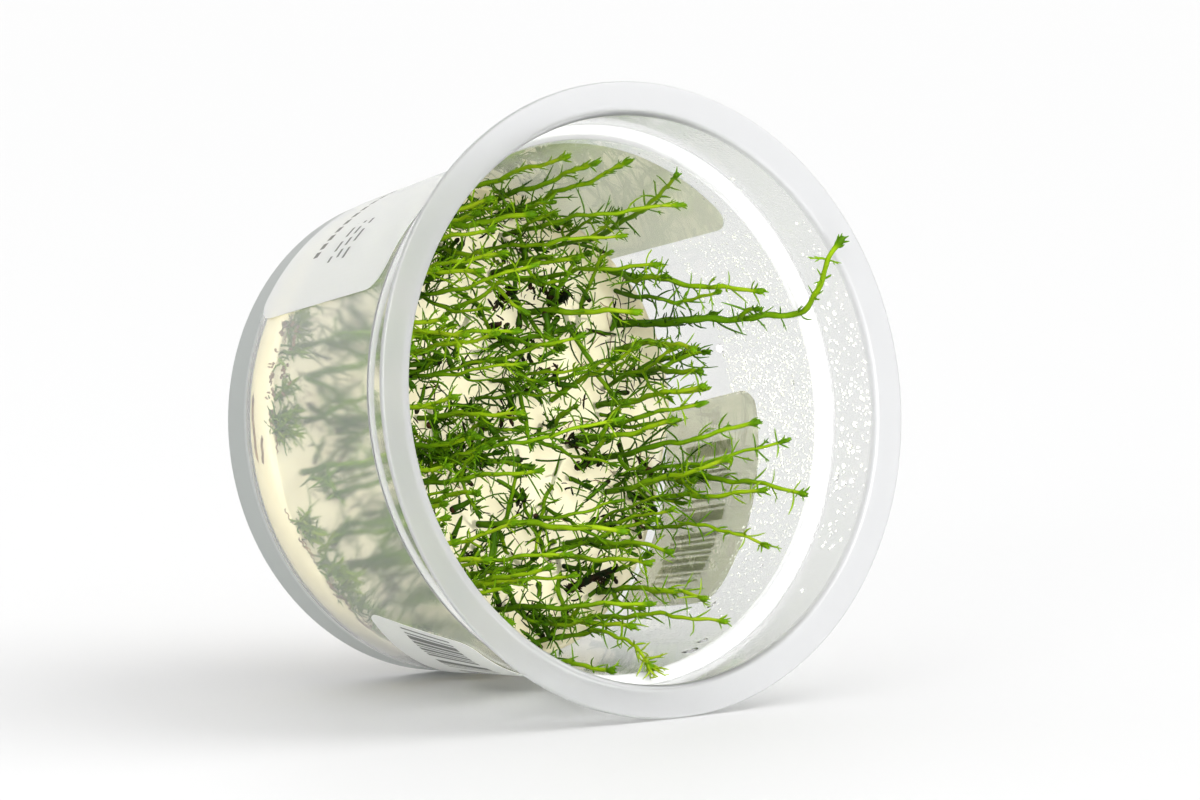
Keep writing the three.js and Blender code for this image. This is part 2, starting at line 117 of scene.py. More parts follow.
# Shoots: where each leaves the gel (x, y), where its tip is (x, y, height above the
# foot's end), and how far its middle is pulled aside (x, y).
SHOOTS = [
    [0, 37.6, 1, 40, 46, 0, 1],
    [6, 35.8, 8, 39, 44, 0, 0.6],
    [9.5, 34.2, 13, 38.8, 46, 0, 0],
    [25, 28.6, 19, 36, 50, 0.5, 0.3],
    [10, 30.6, 21, 31, 48, 0, 1.5],
    [4.5, 28.2, 12, 27, 44, 0, 0],
    [-6, 32, 0.5, 32, 36, 0, 0],
    [13, 23, 18, 22, 44, 0, 0.5],
    [7, 24.6, 9, 24.4, 35, 0, 1],
    [30.5, 20, 28, 17, 46, 0, -4],
    [28.6, 23.6, 33.6, 16.2, 50, 1, -3],
    [13, 17.6, 19, 15, 36, 0, 0],
    [27, 4.6, 25, 9, 37, 0, 1],
    [30, 10.5, 26, 8, 40, 1, 1.5],
    [31.5, 6.5, 27, 4.5, 40, 0, 0],
    [25, 1.6, 26, 2.2, 42, 0, 0],
    [22, -1.8, 27, -0.4, 40, 0, 0],
    [19, -4.4, 24, -2.6, 36, 0, 0],
    [25, -7, 33, -4.4, 46, 0, 0],
    [27.6, -10, 37, -7.8, 48, 0, -1],
    [33.8, -10.6, 37, -17, 51, 1, 0],
    [30, -14, 33.6, -15.5, 45, 0, -1],
    [20, -18, 20, -17, 38, 0, 0],
    [30, -19.4, 29, -24.8, 50, 0, 2.5],
    [16, -20.4, 17.4, -24, 40, 0, 1],
    [12.6, -22.4, 16, -25.4, 36, 0, 0],
    [21, -28.8, 19.4, -32, 45, 0, 1],
    [16.6, -33, 20, -36, 49, 0, 1],
    [8, -32.4, 10, -35.2, 38, 0, 0],
    [-2, -37, -3, -41.8, 49, 0, -1],
    [-4, -26, 1, -26, 36, 0, 0],
    [-13, -8.6, -6, -9, 40, 0, 0],
    [-10, 2, -6, 0.4, 36, 0, 0],
    [-16, -3, -12, -2.6, 32, 0, 0],
    [5, 7, 7, 6.8, 35, 0, 0],
    [0, 10, 6, 12, 38, 0, 0],
    [-10, -5, 7, -2, 45, 0, 0],
    [-1, -16, 9, -20, 40, 0, 0],
    [-8, -21.6, 2, -22.6, 34, 0, 0],
    [1, -30, 12, -31.8, 41, 0, 0],
    [-12, 8.4, -3, 8.4, 34, 0, 0],
    [-14, 15, -3, 13.6, 34, 0, 0],
    [-10, 21, 0, 24, 36, 0, 0],
    [-30, 10, -28, 12, 40, 0, 0],
    [-33, -5, -31, -4, 38, 0, 0],
    [-26, -20, -25, -19, 42, 0, 0],
    [-24, 22, -22, 24, 40, 0, 0],
    [-16, -31, -15, -32.6, 40, 0, 0],
    [19, 28, 17, 30.2, 33, 1, -0.5],
    [25, -12.6, 29.4, -9.8, 42, 0, 0],
]

# Two shoots wander: the longest one leans out of the mouth, and one bends down.
LONG_SHOOT = [[30.6, 14.6], [33, 13.6, 27], [37, 12.8, 40], [39.6, 12.2, 50], [39.4, 15.6, 57],
              [37.6, 20, 62.5], [38.4, 23, 66]]
BENT_SHOOT = [[6, -36], [7.6, -35.2, 28], [6, -36.4, 39], [4, -39.4, 47], [3.2, -42.2, 51]]
FOOT_GAP = 0.6
MIDDLE_ALONG = 0.25
MIDDLE_RISE = 0.55
# How deep a stem stands in the gel.
ROOTED = 1.8

# Side shoots of every second plant stand where there is room for them, as in the solids.
STEM_STEPS = 5
BUD_R = 0.95
SIDE_R = 0.6
SIDE_AT = 0.12
SIDE_REACH = 3.8
SIDE_ELBOW_REACH, SIDE_ELBOW_RISE = 0.9, 0.15
SIDE_LENGTH, SIDE_VARIES, SIDE_BEAT = 13.0, 0.35, 5.3
SIDE_STEPS = 3
SIDE_TURNS = 12
SIDE_EVERY = 2
TWIST = 2.4
LEAF_CLEAR = 0.35
LIP_CLEAR = 1.0
WALL_CLEAR = 0.22
SPACING_STEPS = 12

# Stems: the length of a step and the least number of steps, the waves of their sway in x
# and y, and the radius at the foot, its taper and its swelling at the whorls.
STEM_STEP, STEM_LEAST = 1.1, 6
SWAY, SWAY_WAVES, SWAY_MINOR = 0.32, ((0.45, 1.3), (0.4, 1.1)), 0.4
STEM_FOOT, STEM_TAPER, STEM_SWELL = 1.18, 0.5, 0.08
TIP_BARE = 1.8
STEM_VARIES, GAP_VARIES, LEAF_VARIES, SHADE_VARIES = (0.68, 1.2), (0.85, 1.2), (0.85, 1.15), (-0.1, 0.12)
WHORL_COUNTS = (2, 3, 3, 4)
# The last stretch of a stem with a bud: its length, its widths and how much lower on the colour ramp, and so
# darker green, it is.
BUD_LENGTH, BUD_JOIN = 2.6, 0.3
BUD_WIDTHS = (0.72, 0.78, 0.95, 1.15, 1.1, 0.5)
BUD_FADES = (0.0, 0.05, 0.3, 0.5, 0.55, 0.55)
BUD_NECK_PALER, BUD_NECK_FROM = 0.12, 0.7
BUD_SHADE = 0.45
# Whorls of a bud: how far below the tip, number of leaves, their length and lean.
BUD_WHORLS = ((2.0, 3, 1.6, 0.7), (1.1, 2, 1.3, 0.4), (0.5, 3, 0.9, 0.1))

# Leaves: lean from the stem, thickness along them, and from which length they have more
# steps or lobes. Some on the lower stem are longer and arch.
LEAN, CLOSED_LEAN = 1.1, 0.16
LEAF_TAPER = ((0, 0.35, 0.8, 1), (0.75, 1.0, 0.85, 0.35))
LONG_LEAF = 3.6
LOBED_FROM = 2.0
LOBED_SHARE = 0.35
LOBE_COUNTS = (1, 2, 2, 3)
ARCHED_SHARE = 0.3
ARCHED_BELOW = 0.55
ARCHED_LONGER = 1.9
STEM_SIDES, THIN_STEM_SIDES, LEAF_SIDES = 7, 6, 4

# The first three of SHOOTS hold their leaves close to the stem. Of the two that wander, the
# first is thicker and the second ends in more leaves.
CLOSED_SHOOTS = (0, 1, 2)
CLOSED_GAP, CLOSED_LEAF = 0.5, 0.75
THICK_SHOOT = 0
THICK_STEM, THICK_LEAF = 1.25, 0.75
BUSHY_SHOOT = 1
BUSHY_WHORLS = (0.3, 1.6, 3.2, 5.2)

# Low growth, as ranges: length, tilt from upright, shade at the foot, radius, gap between
# whorls and leaf length. Then how often it starts near a shoot, and how near.
TUFT = dict(length=(4, 11), tilt=(0.1, 1.2), shade=(-0.1, 0.3), radius=(0.28, 0.5), gap=(2.6, 3.8),
            leaf=(1.8, 3.0), near=0.35, spread=3.2)
RUNNER = dict(length=(10, 24), tilt=(0.1, 0.75), shade=(0.1, 0.45), radius=(0.28, 0.5),
              gap=(3.0, 4.6), leaf=(1.8, 2.8), near=0.3, spread=4.5)
CROSSING_TILT = (1.05, 1.45)
TUFT_BUDS = 0.6
RUNNER_SWAY = 0.45
# Shoots on the hidden side, as ranges. They stand left of a line and between two distances
# from the axis.
LEFT_SHOOT = dict(aside=(-2, 5), down=(-3, 3), top=(32, 47), pull=(-2, 2), shade=(0.2, 0.45),
                  radius=(0.4, 0.52), gap=(2.8, 4), leaf=(2, 3))
LEFT_LEAN = 0.95
HIDDEN_SIDE = -11.0
HIDDEN_FROM = 20.0
HIDDEN_TO = 36.8

# Open places on the gel: where they grow rarer from left to right, and the mean and spread
# of the ones in the middle, in x and y.
OPEN_FROM, OPEN_TO = -6.0, 20.0
OPEN_BIAS = 0.85
OPEN_R = 34
MIDDLE_SHARE = 0.3
MIDDLE = ((3, 8), (1, 9))
GROWTH_R = 36.5

# Old stem pieces: half length, radius, length of the black end and its widths.
CUT_HALF, CUT_R, CUT_END = (1.2, 4.0), (0.3, 0.55), (0.9, 1.8)
CUT_END_AT, CUT_END_WIDTHS = (-0.5, -0.3, 0.3, 0.6), (0.7, 1.12, 1.08, 0.6)

# Growth along the wall on the left: angles of clumps, and brown stems in the gel as angle,
# how many degrees on, height and radius.
RIM_CLUMPS = (-58, -63, -79, -84, -90, -112, -121, -129, -135, -141, -150, -158, -165)
SCRAP_SPAN = (-80.0, -62.0)
WALL_STEMS = [(-77, -18, 7.7, 0.5), (-88, -7, 10.6, 0.42), (-137, -9, 13.6, 0.35)]
RIM_STEPS = 8

# Dead stem pieces on the gel: two ends each (x, y, height above the gel), and radius.
STUBS = {
    "stub_fallen": ([-1.5, 3.5, 1.6], [5.2, -4.6, 1.9], 0.9),
    "stub_dark": ([17.4, 19.4, 0.8], [16.4, 19.8, 7.5], 1.6),
    "stub_brown": ([14.4, -28, 0.9], [19, -25.2, 9], 1.0),
}
STUB_STEPS, STUB_SCRAPS = 12, 32

# Knots of dead bits: place on the gel (x, y), height above it, and spread.
KNOTS = [
    (13.2, 20.9, 4.0, 1.1), (5.0, 16.2, 3.2, 0.7), (10.0, 12.1, 3.4, 0.7), (13.4, 7.5, 4.4, 0.6),
    (16.7, -3.8, 3.6, 0.7), (19.0, -6.5, 4.2, 0.7), (28.7, -9.7, 5.5, 0.8), (27.8, -17.4, 5.5, 0.7),
    (22.6, -17.4, 4.4, 0.6), (-4.9, -22.1, 3.6, 0.7), (19.3, -27.0, 4.4, 0.7), (5.5, 19.8, 3.6, 0.7),
    (-3.3, -2.4, 3.4, 0.6), (5.2, -12.8, 3.2, 0.6), (4.0, 1.1, 3.2, 0.6),
]
KNOT_RADII, SHRED_RADII = (0.1, 0.16, 0.24, 0.36), (0.07, 0.09, 0.12, 0.17)

# Stickers: angle of the middle and width in degrees round the cup, lower and upper edge,
# corner radius, and turn in degrees. Plain bars: from and to round the cup, and from and
# to along it, from the sheet's middle. Rows of plain dashes: place along the cup, from and
# to round it, thickness, and the step from dash to dash.
STICKERS = {
    "label_top": dict(middle=-4.9, width=110, low=5.2, high=44.8, corner=4, turn=0, bars=None,
                      lines=[(-10.0, 8.0, 28.6, 1.5, 2.1), (-3.4, 22.0, 31.0, 0.8, 3.3),
                             (-1.0, 22.0, 31.0, 0.8, 2.6), (1.4, 22.0, 31.0, 0.8, 4.1)]),
    "label_side": dict(middle=115.6, width=53.6, low=12.4, high=35.2, corner=3.5, turn=-4,
                       bars=(-16.5, 11.9, -6.5, 4.5), lines=[]),
    "label_front": dict(middle=-159.1, width=41.9, low=13.6, high=35, corner=2.5, turn=-24,
                        bars=(-14.5, 12, -4.2, 5.8), lines=[]),
}
# Gap between wall and sheet, and the strips along it. The bars' step round the cup and the
# share of steps that are dark, the dark share of a dash's step, and how strongly bars show
# on the outer and on the inner side.
LIFT = 0.03
SHEET_ROWS = 6
BAR_STEP, BAR_SHARE = 0.48, 0.5
DASH_SHARE = 0.68
FACE_INK, BACK_INK = 0.8, 0.7

# Fine drops: middle and spread of their angle, lowest and highest place, middle and spread
# of their size's logarithm, and the largest size.
WALL_DROPS = (90, 24, 29, 48.7, 0, 0.4, 3.0)
NECK_DROPS = (95, 16, 51.5, 60.5, 0.25, 0.5, 3.5)
DROP_STRETCH = 1.15
DROP_RISE = 0.26
DROP_CUT = -0.1
# Larger drops: angle round the cup, height, radius and how much longer they are.
BIG_DROPS = [
    (77.7, 28.6, 0.8, 1.6), (92.2, 49.8, 1.5, 0.9), (109.2, 52.5, 0.6, 1.3), (110.8, 55.0, 0.5, 1.4),
    (110.4, 57.0, 0.5, 1.4), (116.3, 49.8, 1.2, 0.9), (142.5, 38.2, 0.8, 1.3), (155.9, 45.6, 0.8, 1.5),
    (160.7, 46.5, 1.1, 1.7), (99.0, 53.0, 0.45, 1.2), (103.0, 55.4, 0.42, 1.6), (88.0, 44.0, 0.4, 1.5),
    (131.0, 44.0, 0.35, 1.4), (125.0, 57.0, 0.38, 1.3), (136.0, 55.0, 0.33, 1.3),
]
SHOULDER_RISE = SHOULDER_TOP - SHOULDER_LOW
SHOULDER_RUN = MOUTH_R - WALL_TOP_R

# The plastic's bands: the foot, darker partly as denser plastic and partly as painted shade of its dim
# hollow; the denser flange; the step, whiter and milkier as a painted highlight where its ledge catches the
# light; and the blurred base.
FOOT_BAND, FOOT_BLUR = 6.2, 0.6
PLATE_R = 37.6
FLANGE_FROM = CUP_HEIGHT - 1.5 * FLANGE_THICK
FLANGE_ROUGHER = 0.2
BLURRED_TO = PLATE_TOP + 0.5
# The step between wall and neck is made whiter and milkier: a painted highlight where its ledge catches the
# light.
STEP_FROM, STEP_TO = SHOULDER_LOW - 0.5, SHOULDER_TOP + 0.2
STEP_COLOR, STEP_CLARITY = (0.93, 0.93, 0.93), 0.58
# How much less the wall blurs where a sticker's glue fills its grain.
WETTED = 0.85
# Fine beads fog the wall to the right of this share of the cup's height.
DEWY_SIDE = 0.25
BEAD_SCALE, FOG_SCALE = 1900, 60
BEAD_BUMP, BEAD_DEPTH = 0.25, 0.00012

# The gel's side scatters more than its top, where the wall on the left shows it.
GEL_SIDE_FROM, GEL_SIDE_TO = 37.0, 38.0
GEL_SIDE_CLARITY, GEL_SIDE_FADE = 0.3, 0.1
GEL_DEEPER = (0.97, 0.94, 0.88)
GEL_SPECKS = 0.75
# Scales of the gel's clouds, its specks, the patches that hold specks, and its grain.
CLOUD_SCALE, SPECK_SCALE, PATCH_SCALE, GRAIN_SCALE = 90, 420, 160, 260
GRAIN_BUMP, GRAIN_DEPTH = 0.35, 0.0006

# Collections of what a light leaves out, in its shadows and in what it lights.
INNER_LIGHT = ("inner_light_shadows", "inner_light_receivers")
UNDER_LIGHT = ("under_light_shadows", "under_light_receivers")
FILL_LIGHT = (None, UNDER_LIGHT[1])
NONE_LEFT_OUT = (None, None)
WHITE = (1.0, 1.0, 1.0)


def cup_place():
    """The matrix from the cup's own frame, in millimetres, to the shared frame, in metres."""
    foot = next(m for m in frame["record"]["mounts"] if m["name"] == "foot_ring")
    along = -Vector(foot["axis"]).normalized()
    right = Vector((1, 0, 0))
    turn = Matrix((right, along.cross(right), along)).transposed().to_4x4()
    origin = Vector((0, foot["pos_m"][1], foot["pos_m"][2]))
    return Matrix.Translation(origin) @ turn @ Matrix.Scale(MM, 4)


CUP = cup_place()


def of_height(length):
    """A length as a share of the cup's height, as the materials measure it."""
    return length / CUP_HEIGHT


def line_between(x, x0, y0, x1, y1):
    return y0 + (y1 - y0) * (x - x0) / (x1 - x0)


def outer_wall_r(height):
    return line_between(height, 0, FOOT_R, SHOULDER_LOW, STEP_R)


def inner_wall_r(height):
    return line_between(height, PLATE_TOP + PLATE_FILLET, WALL_FOOT_R, SHOULDER_LOW, WALL_TOP_R)


def inside_r(height):
    """Radius of the room inside the cup at a height."""
    return MOUTH_R - LIP_CLEAR if height > SHOULDER_LOW else inner_wall_r(height)


def wall_r(height):
    """Radius of the inner side at a height, the shoulder and the neck included."""
    if height < SHOULDER_LOW:
        return inner_wall_r(height)
    if height < SHOULDER_TOP:
        return line_between(height, SHOULDER_LOW, WALL_TOP_R, SHOULDER_TOP, MOUTH_R)
    return MOUTH_R - NECK_DRAFT


def smooth(share):
    share = min(max(share, 0.0), 1.0)
    return share * share * (3 - 2 * share)


def rim_share(x, y, angle, spread):
    """How much a place is at an angle round the cup, from 0 to 1."""
    away = (math.degrees(math.atan2(x, y)) - angle + 180) % 360 - 180
    return math.exp(-((away / spread) ** 2))


def gel_top(x, y):
    waves = math.sin(GEL_WAVE_X * x + GEL_START_X) * math.cos(GEL_WAVE_Y * y + GEL_START_Y)
    waves += GEL_SLANT_SHARE * math.sin(GEL_WAVE_SLANT * (x - y))
    creep = smooth((math.hypot(x, y) - GEL_CREEP_FROM) / (GEL_CREEP_TO - GEL_CREEP_FROM))
    rise = GEL_CREEP + sum(high * rim_share(x, y, angle, spread) for angle, spread, high in GEL_BANKS)
    return GEL_TOP + GEL_LUMP * waves + rise * creep


def settings():
    return bpy.context.scene.culture_cup


# Materials


class Finish:
    """One material, with short ways to add and join its nodes."""

    def __init__(self, name, color=(0.8, 0.8, 0.8), **values):
        self.material = bpy.data.materials.new(name)
        self.material.use_nodes = True
        self.nodes = self.material.node_tree.nodes
        self.shader = self.nodes["Principled BSDF"]
        self.shader.inputs["Base Color"].default_value = (*color, 1)
        for socket, value in values.items():
            self.shader.inputs[socket.replace("_", " ")].default_value = value

    def add(self, kind, operation=None, **values):
        node = self.nodes.new(kind)
        if operation:
            node.operation = operation
        for socket, value in values.items():
            node.inputs[socket.replace("_", " ")].default_value = value
        return node

    def link(self, output, socket):
        self.material.node_tree.links.new(output, socket)

    def set(self, socket, output):
        self.link(output, self.shader.inputs[socket])

    def place(self):
        return self.add("ShaderNodeTexCoord").outputs["Object"]

    def cup_place(self):
        """The place in the cup's own frame, with its height from 0 at the foot to 1 at the mouth."""
        node = self.add("ShaderNodeMapping")
        node.vector_type = "TEXTURE"
        self.link(self.place(), node.inputs["Vector"])
        node.inputs["Location"].default_value = CUP.to_translation()
        node.inputs["Rotation"].default_value = CUP.to_euler()
        node.inputs["Scale"].default_value = [CUP_HEIGHT * MM] * 3
        return node.outputs["Vector"]

    def split(self, vector):
        """The x, y and z of a place."""
        node = self.add("ShaderNodeSeparateXYZ")
        self.link(vector, node.inputs["Vector"])
        return [node.outputs[way] for way in "XYZ"]

    def value(self, name):
        """A value that every vertex of the piece carries."""
        node = self.add("ShaderNodeAttribute")
        node.attribute_name = name
        return node.outputs["Fac"]

    def math(self, operation, *values):
        node = self.add("ShaderNodeMath", operation)
        for socket, given in zip(node.inputs, values):
            if isinstance(given, (int, float)):
                socket.default_value = given
            else:
                self.link(given, socket)
        return node.outputs["Value"]

    def product(self, first, *others):
        for other in others:
            first = self.math("MULTIPLY", first, other)
        return first

    def from_axis(self, x, y):
        """The squared distance from the cup's axis."""
        return self.math("ADD", self.product(x, x), self.product(y, y))

    def within(self, value, low, high):
        """1 where a value lies between two limits, and otherwise 0."""
        return self.product(self.math("GREATER_THAN", value, low), self.math("LESS_THAN", value, high))

    def noise(self, place, scale, detail=3.0, roughness=0.5):
        node = self.add("ShaderNodeTexNoise", Scale=scale, Detail=detail, Roughness=roughness)
        self.link(place, node.inputs["Vector"])
        return node.outputs["Fac"]

    def spots(self, place, scale):
        """Distance to the nearest of scattered points."""
        node = self.add("ShaderNodeTexVoronoi", Scale=scale)
        self.link(place, node.inputs["Vector"])
        return node.outputs["Distance"]

    def ramp(self, value, *stops):
        """Colours or greys along a value, each stop as (place, colour)."""
        node = self.add("ShaderNodeValToRGB")
        band = node.color_ramp
        while len(band.elements) < len(stops):
            band.elements.new(1.0)
        for element, (place, color) in zip(band.elements, stops):
            element.position = place
            element.color = (color, color, color, 1) if isinstance(color, float) else (*color, 1)
        self.link(value, node.inputs["Fac"])
        return node.outputs["Color"]

    def mix(self, share, first, second):
        node = self.add("ShaderNodeMix")
        node.data_type = "RGBA"
        ends = [socket for socket in node.inputs if socket.type == "RGBA"]
        for socket, given in ((node.inputs["Factor"], share), (ends[0], first), (ends[1], second)):
            if isinstance(given, tuple):
                socket.default_value = (*given, 1)
            elif isinstance(given, (int, float)):
                socket.default_value = given
            else:
                self.link(given, socket)
        return next(socket for socket in node.outputs if socket.type == "RGBA")

    def bump(self, height, strength, distance):
        node = self.add("ShaderNodeBump", Strength=strength, Distance=distance)
        self.link(height, node.inputs["Height"])
        self.set("Normal", node.outputs["Normal"])


def shared(name, make):
    """The material of a name, made if it isn't there yet."""
    return bpy.data.materials.get(name) or make()


def glued(finish, angle, height):
    """1 where a sticker is glued to the wall's outside, and otherwise 0."""
    stuck = 0.0
    for sheet in STICKERS.values():
        middle, half = math.radians(sheet["middle"]), math.radians(sheet["width"]) / 2
        spot = finish.product(finish.within(angle, middle - half, middle + half),
                              finish.within(height, of_height(sheet["low"]), of_height(sheet["high"])))
        stuck = finish.math("MAXIMUM", stuck, spot)
    return stuck


def plastic_finish(name, dewy):
    """Milky polypropylene, denser at the flange, darker at the foot partly as denser plastic and partly as
    painted shade, whiter at the step as a painted highlight, and fogged with dew inside.
    """
    cup = settings().cup
    finish = Finish(name, cup.color, Roughness=cup.roughness, IOR=1.49, Specular_IOR_Level=0.35)
    aside, up, height = finish.split(finish.cup_place())
    # The foot band's darker, duller colour is partly denser plastic and partly painted shade of the dim
    # hollow inside the foot.
    foot = finish.product(
        finish.ramp(height, (of_height(FOOT_BAND - FOOT_BLUR), 1.0), (of_height(FOOT_BAND + FOOT_BLUR), 0.0)),
        finish.math("GREATER_THAN", finish.from_axis(aside, up), of_height(PLATE_R) ** 2))
    flange = finish.math("GREATER_THAN", height, of_height(FLANGE_FROM))
    low = finish.math("LESS_THAN", height, of_height(BLURRED_TO))
    # The step band: a painted highlight, whiter and milkier where the ledge catches the light.
    step = finish.within(height, of_height(STEP_FROM), of_height(STEP_TO))
    stuck = glued(finish, finish.math("ARCTAN2", aside, up), height)

    rough, clear, color = cup.roughness, cup.clarity, tuple(cup.color)
    for band, rougher in ((low, cup.foot_roughness - cup.roughness), (flange, FLANGE_ROUGHER)):
        rough = finish.math("MULTIPLY_ADD", band, rougher, rough)
    for band, clarity in ((foot, cup.foot_clarity), (step, STEP_CLARITY), (flange, cup.flange_clarity)):
        clear = finish.math("MULTIPLY_ADD", band, clarity - cup.clarity, clear)
    # Mixes in the colours: the step's whiter one is a painted highlight, the foot's darker one is partly
    # painted shade, and the flange's is the denser plastic.
    for band, tint in ((step, STEP_COLOR), (foot, cup.foot_color), (flange, cup.flange_color)):
        color = finish.mix(band, color, tuple(tint))
    finish.set("Roughness", finish.product(rough, finish.math("MULTIPLY_ADD", stuck, -WETTED, 1.0)))
    finish.set("Transmission Weight", clear)
    finish.set("Base Color", color)
    if dewy:
        place = finish.place()
        beads = finish.ramp(finish.spots(place, BEAD_SCALE), (0.0, 1.0), (0.32, 0.55), (0.5, 0.0))
        fog = finish.ramp(finish.noise(place, FOG_SCALE, 4), (0.42, 0.0), (0.58, 1.0))
        right = finish.math("GREATER_THAN", aside, DEWY_SIDE)
        bare = finish.math("SUBTRACT", 1.0, stuck)
        finish.bump(finish.product(beads, fog, right, bare), BEAD_BUMP, BEAD_DEPTH)
    return finish.material


def gel_finish():
    """Cloudy cream gel with dark specks."""
    gel = settings().gel
    finish = Finish("gel", gel.color, Roughness=0.4, IOR=1.34, Transmission_Weight=gel.clarity,
                    Coat_Weight=0.4, Coat_Roughness=0.05)
    place = finish.place()
    cloud = finish.ramp(finish.noise(place, CLOUD_SCALE, 4, 0.6), (0.35, 0.0), (0.7, 1.0))
    speck = finish.product(
        finish.ramp(finish.spots(place, SPECK_SCALE), (0.05, 1.0), (0.11, 0.0)),
        finish.ramp(finish.noise(place, PATCH_SCALE, 2), (0.56, 0.0), (0.66, 1.0)), GEL_SPECKS)
    deep = tuple(tone * share for tone, share in zip(gel.color, GEL_DEEPER))
    body = finish.mix(cloud, tuple(gel.color), deep)
    finish.set("Base Color", finish.mix(speck, body, tuple(gel.speck_color)))
    aside, up, _ = finish.split(finish.cup_place())
    side = finish.product(
        finish.ramp(aside, (0.0, 1.0), (GEL_SIDE_FADE, 0.0)),
        finish.ramp(finish.from_axis(aside, up), (of_height(GEL_SIDE_FROM) ** 2, 0.0),
                    (of_height(GEL_SIDE_TO) ** 2, 1.0)))
    finish.set("Transmission Weight",
               finish.math("MULTIPLY_ADD", side, GEL_SIDE_CLARITY - gel.clarity, gel.clarity))
    finish.bump(finish.noise(place, GRAIN_SCALE, 5, 0.6), GRAIN_BUMP, GRAIN_DEPTH)
    return finish.material


def paper_finish(name, color, clarity, ink, strength, bars, lines):
    """Sticker paper with plain bars of uneven width or rows of dashes, which follow its own map."""
    finish = Finish(name, color, Roughness=0.9, IOR=1.4, Coat_Weight=0.15, Coat_Roughness=0.25,
                    Transmission_Weight=clarity)
    sheet = finish.add("ShaderNodeUVMap")
    sheet.uv_map = "sheet"
    round_way, along, _ = finish.split(sheet.outputs["UV"])
    grain = finish.ramp(finish.noise(sheet.outputs["UV"], 9, 4), (0.3, 0.0), (0.7, 1.0))
    paper = finish.mix(grain, tuple(color), tuple(0.96 * tone for tone in color))
    dark = 0.0
    if bars:
        start, end, low, high = bars
        chance = finish.add("ShaderNodeTexWhiteNoise")
        chance.noise_dimensions = "1D"
        finish.link(finish.math("FLOOR", finish.product(round_way, 1 / BAR_STEP)), chance.inputs["W"])
        dark = finish.product(finish.math("LESS_THAN", chance.outputs["Value"], BAR_SHARE),
                              finish.within(round_way, start, end), finish.within(along, low, high))
    for place, start, end, thick, step in lines:
        dash = finish.math("FRACT", finish.product(round_way, 1 / step))
        line = finish.product(
            finish.within(round_way, start, end), finish.within(along, place - thick / 2, place + thick / 2),
            finish.math("LESS_THAN", dash, DASH_SHARE))
        dark = finish.math("MAXIMUM", dark, line)
    finish.set("Base Color", finish.mix(finish.math("MULTIPLY", dark, strength), paper, tuple(ink)))
    return finish.material


def leaf_finish():
    """Living stems and leaves: dark near the gel, partly as older tissue and partly as painted shade deep in
    the growth, yellow-green towards the tips.
    """
    plant = settings().plants
    finish = Finish("milfoil", plant.fresh_color, Roughness=0.5, Specular_IOR_Level=0.04)
    place = finish.place()
    patch = finish.math("MULTIPLY_ADD", finish.noise(place, 420, 3), 0.3, -0.15)
    shade = finish.math("ADD", finish.value("freshness"), patch)
    # Dark near the gel stands partly for older tissue and partly for painted shade deep in the growth.
    finish.set("Base Color", finish.ramp(
        shade, (0.0, tuple(plant.old_and_shaded_color)), (0.4, tuple(plant.green_color)),
        (0.78, tuple(plant.fresh_color)), (1.0, tuple(plant.tip_color))))
    finish.bump(finish.noise(place, 1800, 2), 0.3, 0.0001)
    return finish.material


def dead_finish():
    """Dead tissue, from black-green over black to brown."""
    plant = settings().plants
    finish = Finish("dead_tissue", plant.dead_color, Roughness=0.7, Specular_IOR_Level=0.05)
    place = finish.place()
    finish.set("Base Color", finish.ramp(
        finish.noise(place, 700, 4), (0.4, (0.004, 0.01, 0.003)), (0.55, tuple(plant.dead_color)),
        (0.75, (0.05, 0.022, 0.01))))
    finish.bump(finish.noise(place, 1500, 3), 0.6, 0.0002)
    return finish.material


def root_finish():
    """Brown roots with paler stretches."""
    finish = Finish("root", (0.42, 0.26, 0.14), Roughness=0.6)
    finish.set("Base Color", finish.ramp(
        finish.noise(finish.place(), 300, 3), (0.35, (0.07, 0.035, 0.015)), (0.65, (0.3, 0.2, 0.1))))
    return finish.material


def water_finish():
    return Finish("water", WHITE, Roughness=0.0, IOR=1.2, Transmission_Weight=1.0).material


def mist_finish():
    """Drops so fine that they look pale."""
    return Finish("mist", (0.95, 0.97, 0.92), Roughness=0.1, IOR=1.12, Transmission_Weight=0.72).material


# Building helpers


def add_piece(name, mesh, slot, *nodes, smooth=True):
    """Puts a mesh in the cup's frame, hands it to the frame, and lets it stand for nodes."""
    mesh.transform(CUP)
    if smooth:
        mesh.polygons.foreach_set("use_smooth", [True] * len(mesh.polygons))
    piece = bpy.data.objects.new(name, mesh)
    bpy.context.scene.collection.objects.link(piece)
    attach(piece, BODY)
    if nodes:
        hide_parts(*nodes)
    return piece


def keep_out(piece, names):
    """Keeps a piece out of a light, so that it neither gets it nor shades it."""
    for name in names:
        group = bpy.data.collections.get(name)
        if group:
            group.objects.link(piece)
            group.collection_objects[-1].light_linking.link_state = "EXCLUDE"


def everything(bm):
    return bm.verts[:] + bm.edges[:] + bm.faces[:]


def revolved(profile, turns):
    """A closed shell from a profile of (radius, height, corner radius)."""
    bm = bmesh.new()
    verts = [bm.verts.new((r, 0, h)) for r, h, _ in profile]
    for first, second in zip(verts, verts[1:]):
        bm.edges.new((first, second))
    for vert, (_, _, corner) in zip(verts, profile):
        if corner:
            bmesh.ops.bevel(bm, geom=[vert], offset=corner, offset_type="OFFSET",
                            segments=CORNER_SEGMENTS, profile=0.5, affect="VERTICES", material=-1)
    bmesh.ops.spin(bm, geom=bm.verts[:] + bm.edges[:], cent=(0, 0, 0), axis=(0, 0, 1),
                   angle=FULL_TURN, steps=turns, use_merge=True, use_duplicate=False)
    bmesh.ops.remove_doubles(bm, verts=bm.verts, dist=1e-5)
    bmesh.ops.recalc_face_normals(bm, faces=bm.faces)
    return bm


